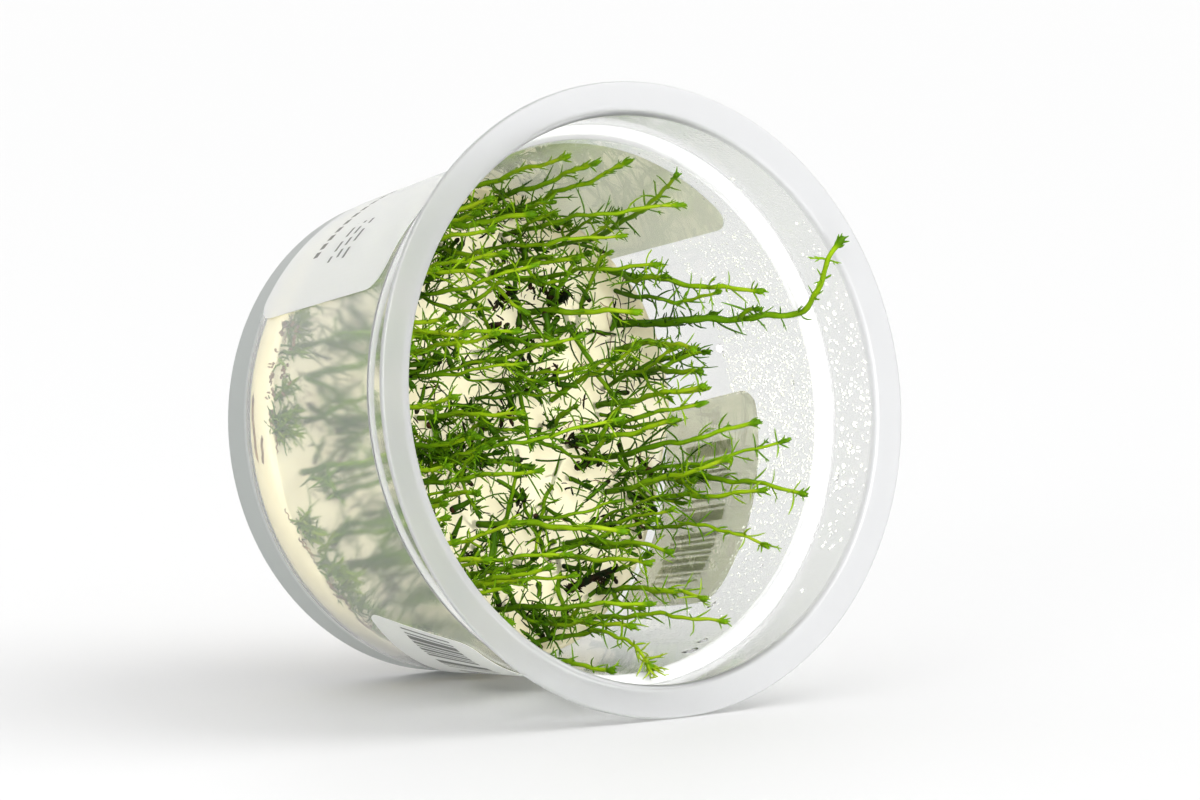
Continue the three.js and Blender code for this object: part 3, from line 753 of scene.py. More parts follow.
def to_mesh(bm, name, *materials):
    mesh = bpy.data.meshes.new(name)
    bm.to_mesh(mesh)
    bm.free()
    for material in materials:
        mesh.materials.append(material)
    return mesh


class Path:
    """A line through space that is read by the share of its length."""

    def __init__(self, points):
        self.points = np.array(points, float)
        steps = np.linalg.norm(np.diff(self.points, axis=0), axis=1)
        self.reach = np.concatenate([[0.0], np.cumsum(steps)])
        self.length = self.reach[-1]

    def at(self, share):
        reach = np.asarray(share) * self.length
        return np.stack([np.interp(reach, self.reach, self.points[:, k]) for k in range(3)], -1)

    def heading(self, share):
        ahead = self.at(min(share + 0.01, 1.0)) - self.at(max(share - 0.01, 0.0))
        return ahead / np.linalg.norm(ahead)


def bend(foot, middle, tip, count=60):
    """A path from a foot to a tip that leans towards a middle, as a quadratic curve."""
    t = np.linspace(0, 1, count + 1)[:, None]
    foot, middle, tip = (np.array(p, float) for p in (foot, middle, tip))
    return Path((1 - t) ** 2 * foot + 2 * t * (1 - t) * middle + t * t * tip)


def through(points, count=24):
    """A smooth path through points, with evener bends where they lie close together."""
    points = np.array(points, float)
    points = np.vstack([2 * points[0] - points[1], points, 2 * points[-1] - points[-2]])
    made = []
    for a, b, c, d in zip(points, points[1:], points[2:], points[3:]):
        ab, bc, cd = (math.sqrt(np.linalg.norm(q - p)) for p, q in ((a, b), (b, c), (c, d)))
        leave = ((b - a) / ab - (c - a) / (ab + bc) + (c - b) / bc) * bc
        arrive = ((c - b) / bc - (d - b) / (bc + cd) + (d - c) / cd) * bc
        for t in np.linspace(0, 1, count, endpoint=False):
            made.append((2 * t**3 - 3 * t**2 + 1) * b + (t**3 - 2 * t**2 + t) * leave
                        + (3 * t**2 - 2 * t**3) * c + (t**3 - t**2) * arrive)
    made.append(points[-2])
    return Path(made)


def across(direction):
    """Two unit vectors across a direction."""
    side = np.cross((0.0, 1.0, 0.0), direction)
    side /= np.linalg.norm(side)
    return side, np.cross(direction, side)


def unit(vector):
    return vector / np.linalg.norm(vector)


def random_way(rng, climb=1.0, lift=0.0):
    """A random direction, with how widely it may climb and how much it points up."""
    return unit(np.array([rng.gauss(0, 1), rng.gauss(0, 1), rng.gauss(lift, climb)]))


def kept_inside(point):
    """A point moved off the wall, against which leaves then lie flat."""
    x, y, z = point
    r = math.hypot(x, y)
    limit = inside_r(z) - WALL_CLEAR
    if r < limit or z > CUP_HEIGHT - FLANGE_THICK:
        return x, y, z
    return x * limit / r, y * limit / r, z


class Strands:
    """Tapered strands that become tubes of one mesh, with a value on every vertex."""

    def __init__(self):
        self.points, self.edges, self.radii, self.values = [], [], [], []

    def add(self, points, radii, values):
        first = len(self.points)
        self.points.extend(kept_inside(point) for point in points)
        self.radii.extend(radii)
        self.values.extend(values)
        self.edges.extend((k, k + 1) for k in range(first, len(self.points) - 1))

    def mesh(self, name, sides, material):
        wire = bpy.data.meshes.new(name)
        wire.from_pydata(self.points, self.edges, [])
        for key, values in (("thickness", self.radii), ("freshness", self.values)):
            wire.attributes.new(key, "FLOAT", "POINT").data.foreach_set("value", values)
        holder = bpy.data.objects.new(name, wire)
        bpy.context.scene.collection.objects.link(holder)
        holder.modifiers.new("tubes", "NODES").node_group = tube_nodes(sides)
        made = bpy.data.meshes.new_from_object(
            holder.evaluated_get(bpy.context.evaluated_depsgraph_get()))
        bpy.data.objects.remove(holder)
        bpy.data.meshes.remove(wire)
        made.attributes.remove(made.attributes["thickness"])
        made.materials.clear()
        made.materials.append(material)
        return made


def tube_nodes(sides):
    """Geometry nodes that turn chains of edges into capped tubes of their own thickness."""
    name = f"tubes_{sides}"
    if name in bpy.data.node_groups:
        return bpy.data.node_groups[name]
    group = bpy.data.node_groups.new(name, "GeometryNodeTree")
    for way in ("INPUT", "OUTPUT"):
        group.interface.new_socket("Geometry", in_out=way, socket_type="NodeSocketGeometry")
    start, end, chain, thickness, ring, sweep = (group.nodes.new(kind) for kind in (
        "NodeGroupInput", "NodeGroupOutput", "GeometryNodeMeshToCurve",
        "GeometryNodeInputNamedAttribute", "GeometryNodeCurvePrimitiveCircle",
        "GeometryNodeCurveToMesh"))
    thickness.inputs["Name"].default_value = "thickness"
    ring.inputs["Resolution"].default_value = sides
    ring.inputs["Radius"].default_value = 1.0
    sweep.inputs["Fill Caps"].default_value = True
    for output, socket in ((start.outputs[0], chain.inputs[0]), (chain.outputs[0], sweep.inputs["Curve"]),
                           (ring.outputs[0], sweep.inputs["Profile Curve"]),
                           (thickness.outputs["Attribute"], sweep.inputs["Scale"]),
                           (sweep.outputs[0], end.inputs[0])):
        group.links.new(output, socket)
    return group


def joined(name, *meshes):
    """Several meshes as one, with the first one's materials and the vertices' values."""
    bm = bmesh.new()
    for mesh in meshes:
        bm.from_mesh(mesh)
    made = to_mesh(bm, name, *meshes[0].materials)
    for mesh in meshes:
        bpy.data.meshes.remove(mesh)
    return made


def leafy(name, stems, leaves, sides, material):
    """Stems and their leaves as one mesh."""
    return joined(name, stems.mesh("stems", sides, material), leaves.mesh("leaves", LEAF_SIDES, material))


# The plant


def shoot_paths():
    """The centre lines of all shoots, the two wandering ones first."""
    paths = []
    for points in (LONG_SHOOT, BENT_SHOOT):
        (x, y), rest = points[0], points[1:]
        paths.append(through([[x, y, gel_top(x, y) + FOOT_GAP], *rest]))
    for x, y, tip_x, tip_y, tip_z, pull_x, pull_y in SHOOTS:
        foot = np.array([x, y, gel_top(x, y) + FOOT_GAP])
        tip = np.array([tip_x, tip_y, tip_z], float)
        middle = foot + MIDDLE_ALONG * (tip - foot)
        middle[2] = foot[2] + MIDDLE_RISE * (tip[2] - foot[2])
        paths.append(bend(foot, middle + (pull_x, pull_y, 0), tip))
    return paths


def straights(path, steps):
    points = path.at(np.linspace(0, 1, steps + 1))
    return list(zip(points, points[1:]))


def nearest(line, point):
    start, run = line[0], line[1] - line[0]
    share = min(max(np.dot(point - start, run) / np.dot(run, run), 0.0), 1.0)
    return start + share * run


def spacing(first, second):
    """Shortest distance between two straight pieces, by a few steps to and fro."""
    on_first = (first[0] + first[1]) / 2
    for _ in range(SPACING_STEPS):
        on_second = nearest(second, on_first)
        on_first = nearest(first, on_second)
    return np.linalg.norm(on_first - on_second)


def inside_cup(point):
    x, y, z = point
    return math.hypot(x, y) < inside_r(z) - LEAF_CLEAR and z > gel_top(x, y) + LEAF_CLEAR


def side_paths(stems):
    """The side shoot of every second stem, on the first side where there is room for it."""
    taken = [(owner, line, BUD_R) for owner, stem in enumerate(stems)
             for line in straights(stem, STEM_STEPS)]
    sides = {}
    for owner in range(0, len(stems), SIDE_EVERY):
        root = stems[owner].at(SIDE_AT)
        length = SIDE_LENGTH * (1 + SIDE_VARIES * math.sin(SIDE_BEAT * owner))
        for k in range(SIDE_TURNS):
            turn = TWIST * owner + FULL_TURN * k / SIDE_TURNS
            out = np.array([math.cos(turn), math.sin(turn), 0])
            elbow = root + out * SIDE_ELBOW_REACH * SIDE_REACH + (0, 0, SIDE_ELBOW_RISE * length)
            path = bend(root, elbow, root + out * SIDE_REACH + (0, 0, length))
            pieces = straights(path, SIDE_STEPS)
            if all(inside_cup(line[1]) and all(
                    other == owner or spacing(line, place) > r + BUD_R + LEAF_CLEAR
                    for other, place, r in taken) for line in pieces):
                taken.extend((owner, line, SIDE_R) for line in pieces)
                sides[owner] = path
                break
    return sides


def add_leaf(leaves, root, along, out, length, lean, bow, rng, age_and_shade):
    """A needle leaf that leaves a stem, bows, and may carry short lobes."""
    thick = settings().plants.leaf_radius / MM * rng.uniform(0.75, 1.15)
    heading = unit(math.cos(lean) * along + math.sin(lean) * out)
    aside = unit(np.cross(along, out))
    flat = np.cross(heading, aside)
    shares = np.linspace(0, 1, 4 if length < LONG_LEAF else 7)[:, None]
    points = root + length * (shares * heading + shares**2 * (bow * flat + rng.uniform(-0.25, 0.25) * aside))
    slim = np.interp(shares[:, 0], *LEAF_TAPER)
    leaves.add(points, thick * slim, age_and_shade + 0.12 * shares[:, 0])
    if length < LOBED_FROM or rng.random() > LOBED_SHARE:
        return
    leaf = Path(points)
    for k in range(rng.choice(LOBE_COUNTS)):
        share = rng.uniform(0.35, 0.8)
        ahead = leaf.heading(share)
        sign = 1 if k % 2 else -1
        way = unit(ahead + sign * rng.uniform(0.6, 1.0) * aside + rng.uniform(-0.4, 0.4) * flat)
        start, reach = leaf.at(share), rng.uniform(0.5, 1.1)
        leaves.add([start, start + way * reach * 0.5, start + (way + 0.15 * ahead) * reach],
                   [0.7 * thick, 0.65 * thick, 0.2 * thick], [age_and_shade, age_and_shade, age_and_shade + 0.1])


def add_whorl(leaves, path, share, stem_r, count, length, lean, bow, rng, age_and_shade):
    """A ring of leaves round a stem."""
    centre, along = path.at(share), path.heading(share)
    side, up = across(along)
    start = rng.uniform(0, FULL_TURN)
    for k in range(count):
        turn = start + FULL_TURN * k / count + rng.uniform(-0.3, 0.3)
        out = math.cos(turn) * side + math.sin(turn) * up
        long = length * rng.uniform(0.6, 1.25)
        arch = bow + rng.uniform(-0.55, 0.55)
        if rng.random() < ARCHED_SHARE * (1 - share):
            arched = rng.choice((-1, 1)) * rng.uniform(0.5, 1.1)
            if share < ARCHED_BELOW:
                long, arch = ARCHED_LONGER * long, arched
        add_leaf(leaves, centre + 0.5 * stem_r * out, along, out, long, lean * rng.uniform(0.75, 1.2),
                 arch, rng, age_and_shade)


def add_bud(leaves, path, stem_r, rng, age_and_shade):
    """A knob of small leaves that close over the end of a stem."""
    for back, count, length, lean in BUD_WHORLS:
        add_whorl(leaves, path, max(1 - back / path.length, 0.1), 1.2 * stem_r, count, length, lean,
                  0.05, rng, age_and_shade)


def grow(stems, leaves, path, rng, stem_r, gap, leaf, lean, age_and_shade, bare=0.0, bud=True, wobble=SWAY):
    """A leafy stem along a path, from its foot to its bud. age_and_shade is its place on the colour ramp at
    both ends, where the lower end is older tissue and partly painted shade.
    """
    shares = np.linspace(0, 1, max(STEM_LEAST, int(path.length / STEM_STEP)) + 1)
    points = path.at(shares)
    starts = [rng.uniform(0, FULL_TURN) for _ in range(4)]
    sway = wobble * np.sin(np.pi * shares)
    reach = shares * path.length
    for k, (slow, quick) in enumerate(SWAY_WAVES):
        points[:, k] += sway * (np.sin(slow * reach + starts[2 * k])
                                + SWAY_MINOR * np.sin(quick * reach + starts[2 * k + 1]))
    path = Path(points)
    radii = stem_r * (STEM_FOOT - STEM_TAPER * shares) * (1 + STEM_SWELL * np.cos(2 * np.pi * reach / gap))
    start, end = age_and_shade
    values = start + (end - start) * shares
    if bud:
        last = np.linspace(1 - BUD_LENGTH / path.length, 1, len(BUD_WIDTHS))
        keep = shares < last[0] - BUD_JOIN / path.length
        paler = BUD_NECK_PALER * np.clip((shares[keep] - BUD_NECK_FROM) / (1 - BUD_NECK_FROM), 0, 1)
        points = np.vstack([points[keep], path.at(last)])
        radii = np.concatenate([radii[keep], stem_r * np.array(BUD_WIDTHS)])
        values = np.concatenate([values[keep] + paler, end - np.array(BUD_FADES)])
    else:
        radii[-1] *= 0.5
    stems.add(points, radii, values)
    place = bare * path.length + gap * rng.uniform(0.4, 1.0)
    while place < path.length - TIP_BARE:
        share = place / path.length
        colour = start + (end - start) * share - rng.uniform(0.1, 0.4)
        add_whorl(leaves, path, share, stem_r, rng.choice(WHORL_COUNTS), leaf * (1.1 - 0.15 * share),
                  lean, rng.uniform(-0.3, 0.3), rng, colour)
        place += gap * rng.uniform(0.75, 1.25) * (0.75 + 0.55 * share)
    if bud:
        add_bud(leaves, path, stem_r, rng, end - BUD_SHADE)
    return path


def rooted(path):
    """The same path, begun below the gel's surface."""
    points = path.points
    into = points[0] - ROOTED * unit(points[3] - points[0])
    return Path(np.vstack([into, points]))


def on_wall(angle, height, depth):
    """A place at a depth inside the wall, at an angle round the cup."""
    turn, r = math.radians(angle), inner_wall_r(height) - depth
    return np.array([r * math.sin(turn), r * math.cos(turn), height])


def random_place(rng, reach):
    """A random place on the gel."""
    r = reach * math.sqrt(rng.random())
    turn = rng.uniform(0, FULL_TURN)
    return r * math.sin(turn), r * math.cos(turn)


def open_place(rng):
    """A random place on the gel, more often on the side where few shoots stand."""
    if rng.random() < MIDDLE_SHARE:
        return rng.gauss(*MIDDLE[0]), rng.gauss(*MIDDLE[1])
    while True:
        x, y = random_place(rng, OPEN_R)
        if rng.random() > OPEN_BIAS * smooth((x - OPEN_FROM) / (OPEN_TO - OPEN_FROM)):
            return x, y


def near_foot(rng, feet, spread):
    """A random place near the foot of a shoot."""
    while True:
        x, y = rng.choice(feet)
        x, y = x + rng.gauss(0, spread), y + rng.gauss(0, spread)
        if math.hypot(x, y) < GROWTH_R:
            return x, y


def low_place(rng, feet, near, spread):
    """A place near a shoot's foot, for a share of all, or else on the open gel."""
    return near_foot(rng, feet, spread) if rng.random() < near else open_place(rng)


def behind_sticker(angle, height):
    """Whether a place on the wall has a sticker outside."""
    return any(abs(angle - sheet["middle"]) < sheet["width"] / 2 and sheet["low"] < height < sheet["high"]
               for sheet in STICKERS.values())


# Pieces


class SCENE_OT_stage(bpy.types.Operator):
    """Make the floor, the light and the camera"""

    bl_idname = "culture_cup.stage"
    bl_label = "Stage"

    def execute(self, context):
        stage = settings().stage
        self.lay_floor(context, stage)
        self.light(context, stage)
        lens = bpy.data.cameras.new("camera")
        lens.lens = stage.lens
        lens.sensor_width = 36
        lens.clip_end = 10
        camera = bpy.data.objects.new("camera", lens)
        camera.location = stage.camera_place
        camera.rotation_euler = (math.radians(90) - stage.camera_down, 0, -stage.camera_turn)
        context.scene.collection.objects.link(camera)
        context.scene.camera = camera
        context.scene.view_settings.view_transform = "Standard"
        return {"FINISHED"}

    def lay_floor(self, context, stage):
        bm = bmesh.new()
        bmesh.ops.create_grid(bm, x_segments=1, y_segments=1, size=stage.floor_size / 2)
        paint = Finish("floor", stage.floor_color, Roughness=0.55, Specular_IOR_Level=0.3).material
        floor = bpy.data.objects.new("floor", to_mesh(bm, "floor", paint))
        context.scene.collection.objects.link(floor)
        for name in INNER_LIGHT + UNDER_LIGHT:
            bpy.data.collections.new(name)
        keep_out(floor, INNER_LIGHT + UNDER_LIGHT)

    def light(self, context, stage):
        world = bpy.data.worlds.new("studio")
        world.use_nodes = True
        world.node_tree.nodes["Background"].inputs["Color"].default_value = (*WHITE, 1)
        world.node_tree.nodes["Background"].inputs["Strength"].default_value = stage.ambient
        context.scene.world = world
        for name, size, power, place, color, left_out in (
                ("softbox", None, stage.key_power, stage.key_place, WHITE, NONE_LEFT_OUT),
                ("fill", stage.fill_size, stage.fill_power, stage.fill_place, WHITE, FILL_LIGHT),
                ("side", stage.side_size, stage.side_power, stage.side_place, WHITE, NONE_LEFT_OUT),
                ("inner", None, stage.inner_power, stage.inner_place, stage.inner_color, INNER_LIGHT),
                ("back", None, stage.back_power, stage.back_place, WHITE, INNER_LIGHT),
                ("under", None, stage.under_power, stage.under_place, WHITE, UNDER_LIGHT)):
            lamp = bpy.data.lights.new(name, "AREA" if size else "SUN")
            if size:
                lamp.size = size
            else:
                lamp.angle = stage.key_angle
            self.hang(context, lamp, power, place, color, left_out)

    def hang(self, context, lamp, power, place, color, left_out):
        """Turns a lamp to the cup from a place, and keeps out of it what two collections hold."""
        lamp.energy = power
        lamp.color = color
        holder = bpy.data.objects.new(lamp.name, lamp)
        holder.location = place
        holder.rotation_euler = (CUP.to_translation() - Vector(place)).to_track_quat("-Z", "Y").to_euler()
        holder.visible_camera = False
        context.scene.collection.objects.link(holder)
        shadows, receivers = left_out
        if shadows:
            holder.light_linking.blocker_collection = bpy.data.collections[shadows]
        if receivers:
            holder.light_linking.receiver_collection = bpy.data.collections[receivers]


class SCENE_OT_cup(bpy.types.Operator):
    """Make the moulded cup"""

    bl_idname = "culture_cup.cup"
    bl_label = "Cup"

    def execute(self, context):
        bm = revolved(CUP_SECTION, settings().cup.turns)
        for face in bm.faces:
            middle = face.calc_center_median()
            r = math.hypot(middle.x, middle.y)
            wall = r < outer_wall_r(middle.z) - INNER_SKIN
            neck = middle.z > SHOULDER_TOP and r < NECK_R - NECK_SKIN
            face.material_index = int(middle.z > PLATE_TOP + 0.1 and (wall or neck))
        mesh = to_mesh(bm, "cup", plastic_finish("cup_plastic", False), plastic_finish("cup_dewy", True))
        keep_out(add_piece("culture_cup", mesh, "cup_plastic", "cup"), INNER_LIGHT)
        return {"FINISHED"}


class SCENE_OT_gel(bpy.types.Operator):
    """Make the layer of nutrient gel"""

    bl_idname = "culture_cup.gel"
    bl_label = "Gel"

    def execute(self, context):
        clear = settings().gel.clearance / MM
        rim = inner_wall_r(GEL_TOP) - clear
        rings = [(r, GEL_TOP, 0) for r in np.linspace(rim - GEL_FIRST_RING, 0, GEL_RINGS)]
        bottom = PLATE_TOP + GEL_LIFT
        profile = [(0, bottom, 0), (WALL_FOOT_R - clear, bottom, GEL_CORNER), (rim, GEL_TOP, 0)] + rings
        bm = revolved(profile, GEL_TURNS)
        for vert in bm.verts:
            x, y, z = vert.co
            r = math.hypot(x, y)
            if z > GEL_TOP - 1e-4:
                ripple = GEL_RIPPLE * math.sin(1.7 * x + 0.6 * y) * math.sin(1.5 * y - 0.8 * x)
                rise = GEL_CLIMB * max(0.0, (r - rim + GEL_CLIMB_FROM) / GEL_CLIMB_FROM) ** 2
                vert.co.z = gel_top(x, y) + ripple + rise
            bay = GEL_BAY_DEPTH * rim_share(x, y, GEL_BAY_ANGLE, GEL_BAY_SPREAD)
            bay *= smooth((r - GEL_BAY_FROM) / (rim - GEL_BAY_FROM))
            limit = min(r - bay, inner_wall_r(vert.co.z) - clear)
            if r > limit:
                vert.co.x *= limit / r
                vert.co.y *= limit / r
        add_piece("nutrient_gel", to_mesh(bm, "gel", gel_finish()), "gel", "gel")
        return {"FINISHED"}


class SCENE_OT_stickers(bpy.types.Operator):
    """Make the stickers on the cup's outside"""

    bl_idname = "culture_cup.stickers"
    bl_label = "Stickers"

    def execute(self, context):
        for name, sheet in STICKERS.items():
            self.add_sticker(name, **sheet)
        return {"FINISHED"}

    def add_sticker(self, name, middle, width, low, high, corner, turn, bars, lines):
        look = settings().stickers
        centre = (low + high) / 2
        thick = look.thickness / MM
        bm = self.flat_sheet(math.radians(width) * outer_wall_r(centre), high - low, corner)
        bmesh.ops.solidify(bm, geom=bm.faces[:], thickness=thick)
        bmesh.ops.recalc_face_normals(bm, faces=bm.faces)
        lowest = min(vert.co.z for vert in bm.verts)
        tilt = math.radians(turn)
        for face in bm.faces:
            face.material_index = int(face.calc_center_median().z < lowest + thick / 4)
        for vert in bm.verts:
            x, y, z = vert.co
            along = centre + y * math.cos(tilt) + x * math.sin(tilt)
            round_way = x * math.cos(tilt) - y * math.sin(tilt)
            angle = math.radians(middle) - round_way / outer_wall_r(centre)
            r = outer_wall_r(along) + LIFT + z - lowest
            vert.co = (r * math.sin(angle), r * math.cos(angle), along)
        bmesh.ops.recalc_face_normals(bm, faces=bm.faces)
        face = paper_finish(f"{name}_face", look.face_color, look.face_clarity, look.bar_color,
                            FACE_INK, bars, lines)
        # The inner side's cream tint and the olive of its show-through bars are painted light from the gel
        # and the shoots.
        back = paper_finish(f"{name}_back", look.back_color, look.back_clarity, look.show_color,
                            BACK_INK, bars, [])
        piece = add_piece(name.replace("label", "sticker"), to_mesh(bm, name, face, back), "sticker", name,
                          smooth=False)
        keep_out(piece, INNER_LIGHT)

    def flat_sheet(self, long, wide, corner):
        """A flat sheet with round corners, cut into strips that can bend, with its own map."""
        bm = bmesh.new()
        bmesh.ops.create_grid(bm, x_segments=1, y_segments=1, size=0.5)
        bmesh.ops.scale(bm, vec=(long, wide, 1), verts=bm.verts)
        bmesh.ops.bevel(bm, geom=bm.verts[:], offset=corner, offset_type="OFFSET", segments=8,
                        profile=0.5, affect="VERTICES", material=-1)
        for k in range(1, int(long)):
            bmesh.ops.bisect_plane(bm, geom=everything(bm), plane_co=(k - long / 2, 0, 0), plane_no=(1, 0, 0))
        for k in range(1, SHEET_ROWS):
            bmesh.ops.bisect_plane(bm, geom=everything(bm), plane_co=(0, wide * (k / SHEET_ROWS - 0.5), 0),
                                   plane_no=(0, 1, 0))
        uv = bm.loops.layers.uv.new("sheet")
        for face in bm.faces:
            for loop in face.loops:
                loop[uv].uv = loop.vert.co.xy
        return bm


class SCENE_OT_shoots(bpy.types.Operator):
    """Make the 52 shoots that the solids hold"""

    bl_idname = "culture_cup.shoots"
    bl_label = "Shoots"

    def execute(self, context):
        plant = settings().plants
        green = shared("milfoil", leaf_finish)
        paths = shoot_paths()
        sides = side_paths(paths)
        for owner, path in enumerate(paths):
            rng = random.Random(plant.seed + owner)
            stems, leaves = Strands(), Strands()
            stem_r = plant.stem_radius / MM * rng.uniform(*STEM_VARIES)
            closed = owner - 2 in CLOSED_SHOOTS
            gap = plant.whorl_gap / MM * rng.uniform(*GAP_VARIES) * (CLOSED_GAP if closed else 1.0)
            leaf = plant.leaf_length / MM * rng.uniform(*LEAF_VARIES) * (CLOSED_LEAF if closed else 1.0)
            lit = rng.uniform(*SHADE_VARIES)
            if owner == THICK_SHOOT:
                stem_r, leaf = THICK_STEM * plant.stem_radius / MM, THICK_LEAF * leaf
            # Each stem's colour runs from dark at the foot, partly painted shade near the gel, to light at
            # the tip.
            stem = grow(stems, leaves, rooted(path), rng, stem_r, gap, leaf, CLOSED_LEAN if closed else LEAN,
                        (0.18 + lit, 0.86 + lit), bare=0.08)
            if owner in sides:
                grow(stems, leaves, sides[owner], rng, 0.8 * stem_r, 0.85 * gap, 0.9 * leaf, LEAN,
                     (0.3 + lit, 0.75 + lit))
            for _ in range(rng.choice((0, 0, 1, 1))):
                self.add_branch(stems, leaves, stem, rng, stem_r, gap, leaf, lit)
            if owner == BUSHY_SHOOT:
                for back in BUSHY_WHORLS:
                    add_whorl(leaves, stem, 1 - back / stem.length, 1.2 * stem_r, 5, 3.0, 0.8, 0.2, rng, 0.9)
            name = f"milfoil_{owner + 1:02d}"
            add_piece(name, leafy(name, stems, leaves, STEM_SIDES, green), "leaf", f"shoot_{owner + 1:02d}")
        return {"FINISHED"}

    def add_branch(self, stems, leaves, stem, rng, stem_r, gap, leaf, lit):
        """A short side shoot somewhere on the lower part of a stem."""
        share = rng.uniform(0.12, 0.6)
        root, along = stem.at(share), stem.heading(share)
        side, up = across(along)
        turn = rng.uniform(0, FULL_TURN)
        out = math.cos(turn) * side + math.sin(turn) * up
        length = rng.uniform(5, 12)
        elbow = root + 0.45 * length * unit(0.9 * out + 0.6 * along)
        tip = elbow + 0.6 * length * unit(0.35 * out + along)
        if inside_cup(tip) and inside_cup(elbow):
            colour = 0.3 + 0.45 * share + lit
            grow(stems, leaves, bend(root, elbow, tip), rng, 0.72 * stem_r, 0.8 * gap, 0.85 * leaf,
                 LEAN, (colour, colour + 0.25))


class SCENE_OT_undergrowth(bpy.types.Operator):
    """Make the low growth between the shoots, its roots and its dead bits"""

    bl_idname = "culture_cup.undergrowth"
    bl_label = "Undergrowth"

    def execute(self, context):
        low = settings().undergrowth
        rng = random.Random(low.seed)
        feet = [path.points[0][:2] for path in shoot_paths()]
        green = shared("milfoil", leaf_finish)
        self.add_tufts(rng, feet, green, low.tufts)
        self.add_runners(rng, feet, green, low.runners, low.crossing)
        self.add_hidden(rng, green, low.hidden)
        self.add_loose_leaves(rng, feet, green, low.loose_leaves)
        self.add_roots(rng, low.roots)
        self.add_cut_pieces(rng, feet, green, low.cut_pieces)
        self.add_rim_growth(rng, green, low.rim_tufts, low.rim_roots)
        self.add_shreds(rng, feet, low.shreds)
        self.add_stubs(green)
        self.add_knots(random.Random(low.seed + 1), low.knot_bits)
        return {"FINISHED"}

    def sizes(self, rng, kind):
        """The radius, the gap between whorls and the leaf length of one stem."""
        return [rng.uniform(*kind[key]) for key in ("radius", "gap", "leaf")]

    def lean_path(self, rng, x, y, length, tilt):
        """A path that leaves the gel at a tilt and then rises, kept inside the cup."""
        while True:
            turn = rng.uniform(0, FULL_TURN)
            out = np.array([math.cos(turn), math.sin(turn), 0])
            foot = np.array([x, y, gel_top(x, y) - 1.0])
            elbow = foot + 0.5 * length * (math.sin(tilt) * out + (0, 0, math.cos(tilt)))
            tip = elbow + 0.5 * length * (0.7 * math.sin(tilt) * out + (0, 0, 0.3 + 0.7 * math.cos(tilt)))
            if inside_cup(tip):
                return bend(foot, elbow, tip, 20)
            x, y = 0.95 * x, 0.95 * y

    def add_tufts(self, rng, feet, green, count):
        stems, leaves = Strands(), Strands()
        for _ in range(count):
            x, y = low_place(rng, feet, TUFT["near"], TUFT["spread"])
            path = self.lean_path(rng, x, y, rng.uniform(*TUFT["length"]), rng.uniform(*TUFT["tilt"]))
            shade = rng.uniform(*TUFT["shade"])
            grow(stems, leaves, path, rng, *self.sizes(rng, TUFT), LEAN, (shade, shade + 0.3),
                 bud=rng.random() < TUFT_BUDS)
        add_piece("undergrowth_tufts", leafy("tufts", stems, leaves, THIN_STEM_SIDES, green), "leaf")

    def add_runners(self, rng, feet, green, count, crossing):
        """Thinner stems between the shoots; the crossing ones lie almost flat over the gel."""
        stems, leaves = Strands(), Strands()
        for k in range(count + crossing):
            tilt = rng.uniform(*(RUNNER["tilt"] if k < count else CROSSING_TILT))
            x, y = low_place(rng, feet, RUNNER["near"], RUNNER["spread"])
            path = self.lean_path(rng, x, y, rng.uniform(*RUNNER["length"]), tilt)
            shade = rng.uniform(*RUNNER["shade"])
            grow(stems, leaves, path, rng, *self.sizes(rng, RUNNER), LEAN, (shade, shade + 0.4),
                 wobble=RUNNER_SWAY)
        add_piece("undergrowth_runners", leafy("runners", stems, leaves, THIN_STEM_SIDES, green), "leaf")

    def add_hidden(self, rng, green, count):
        """Shoots on the side that only shows through the cup's wall."""
        stems, leaves = Strands(), Strands()
        for _ in range(count):
            while True:
                x, y = random_place(rng, HIDDEN_TO)
                if x < HIDDEN_SIDE and math.hypot(x, y) > HIDDEN_FROM:
                    break
            tip = np.array([x + rng.uniform(*LEFT_SHOOT["aside"]), y + rng.uniform(*LEFT_SHOOT["down"]),
                            rng.uniform(*LEFT_SHOOT["top"])])
            foot = np.array([x, y, gel_top(x, y) - 1.0])
            pull = (rng.uniform(*LEFT_SHOOT["pull"]), rng.uniform(*LEFT_SHOOT["pull"]), 0)
            shade = rng.uniform(*LEFT_SHOOT["shade"])
            grow(stems, leaves, bend(foot, (foot + tip) / 2 + pull, tip), rng, *self.sizes(rng, LEFT_SHOOT),
                 LEFT_LEAN, (shade, shade + 0.5))
        add_piece("undergrowth_left", leafy("hidden", stems, leaves, STEM_SIDES, green), "leaf")

    def add_loose_leaves(self, rng, feet, green, count):
        leaves = Strands()
        for _ in range(count):
            x, y = low_place(rng, feet, 0.5, 4)
            foot = np.array([x, y, gel_top(x, y) + rng.uniform(-0.5, 9)])
            way = unit(np.array([rng.gauss(0, 1), rng.gauss(0, 1), abs(rng.gauss(0.3, 0.8))]))
            curl = np.cross(way, random_way(rng))
            length, turn = rng.uniform(2.5, 6.5), rng.uniform(0.3, 1.8)
            shares = np.linspace(0, 1, 6)[:, None]
            points = foot + length * (np.sin(turn * shares) * way + (1 - np.cos(turn * shares)) * curl) / turn
            if inside_cup(points[-1]) and inside_cup(points[3]):
                shade = rng.uniform(0.0, 0.55)
                thick = rng.uniform(0.1, 0.17)
                leaves.add(points, [thick] * 5 + [0.3 * thick], [shade] * 6)
        add_piece("undergrowth_leaves", leaves.mesh("leaves", LEAF_SIDES, green), "leaf")

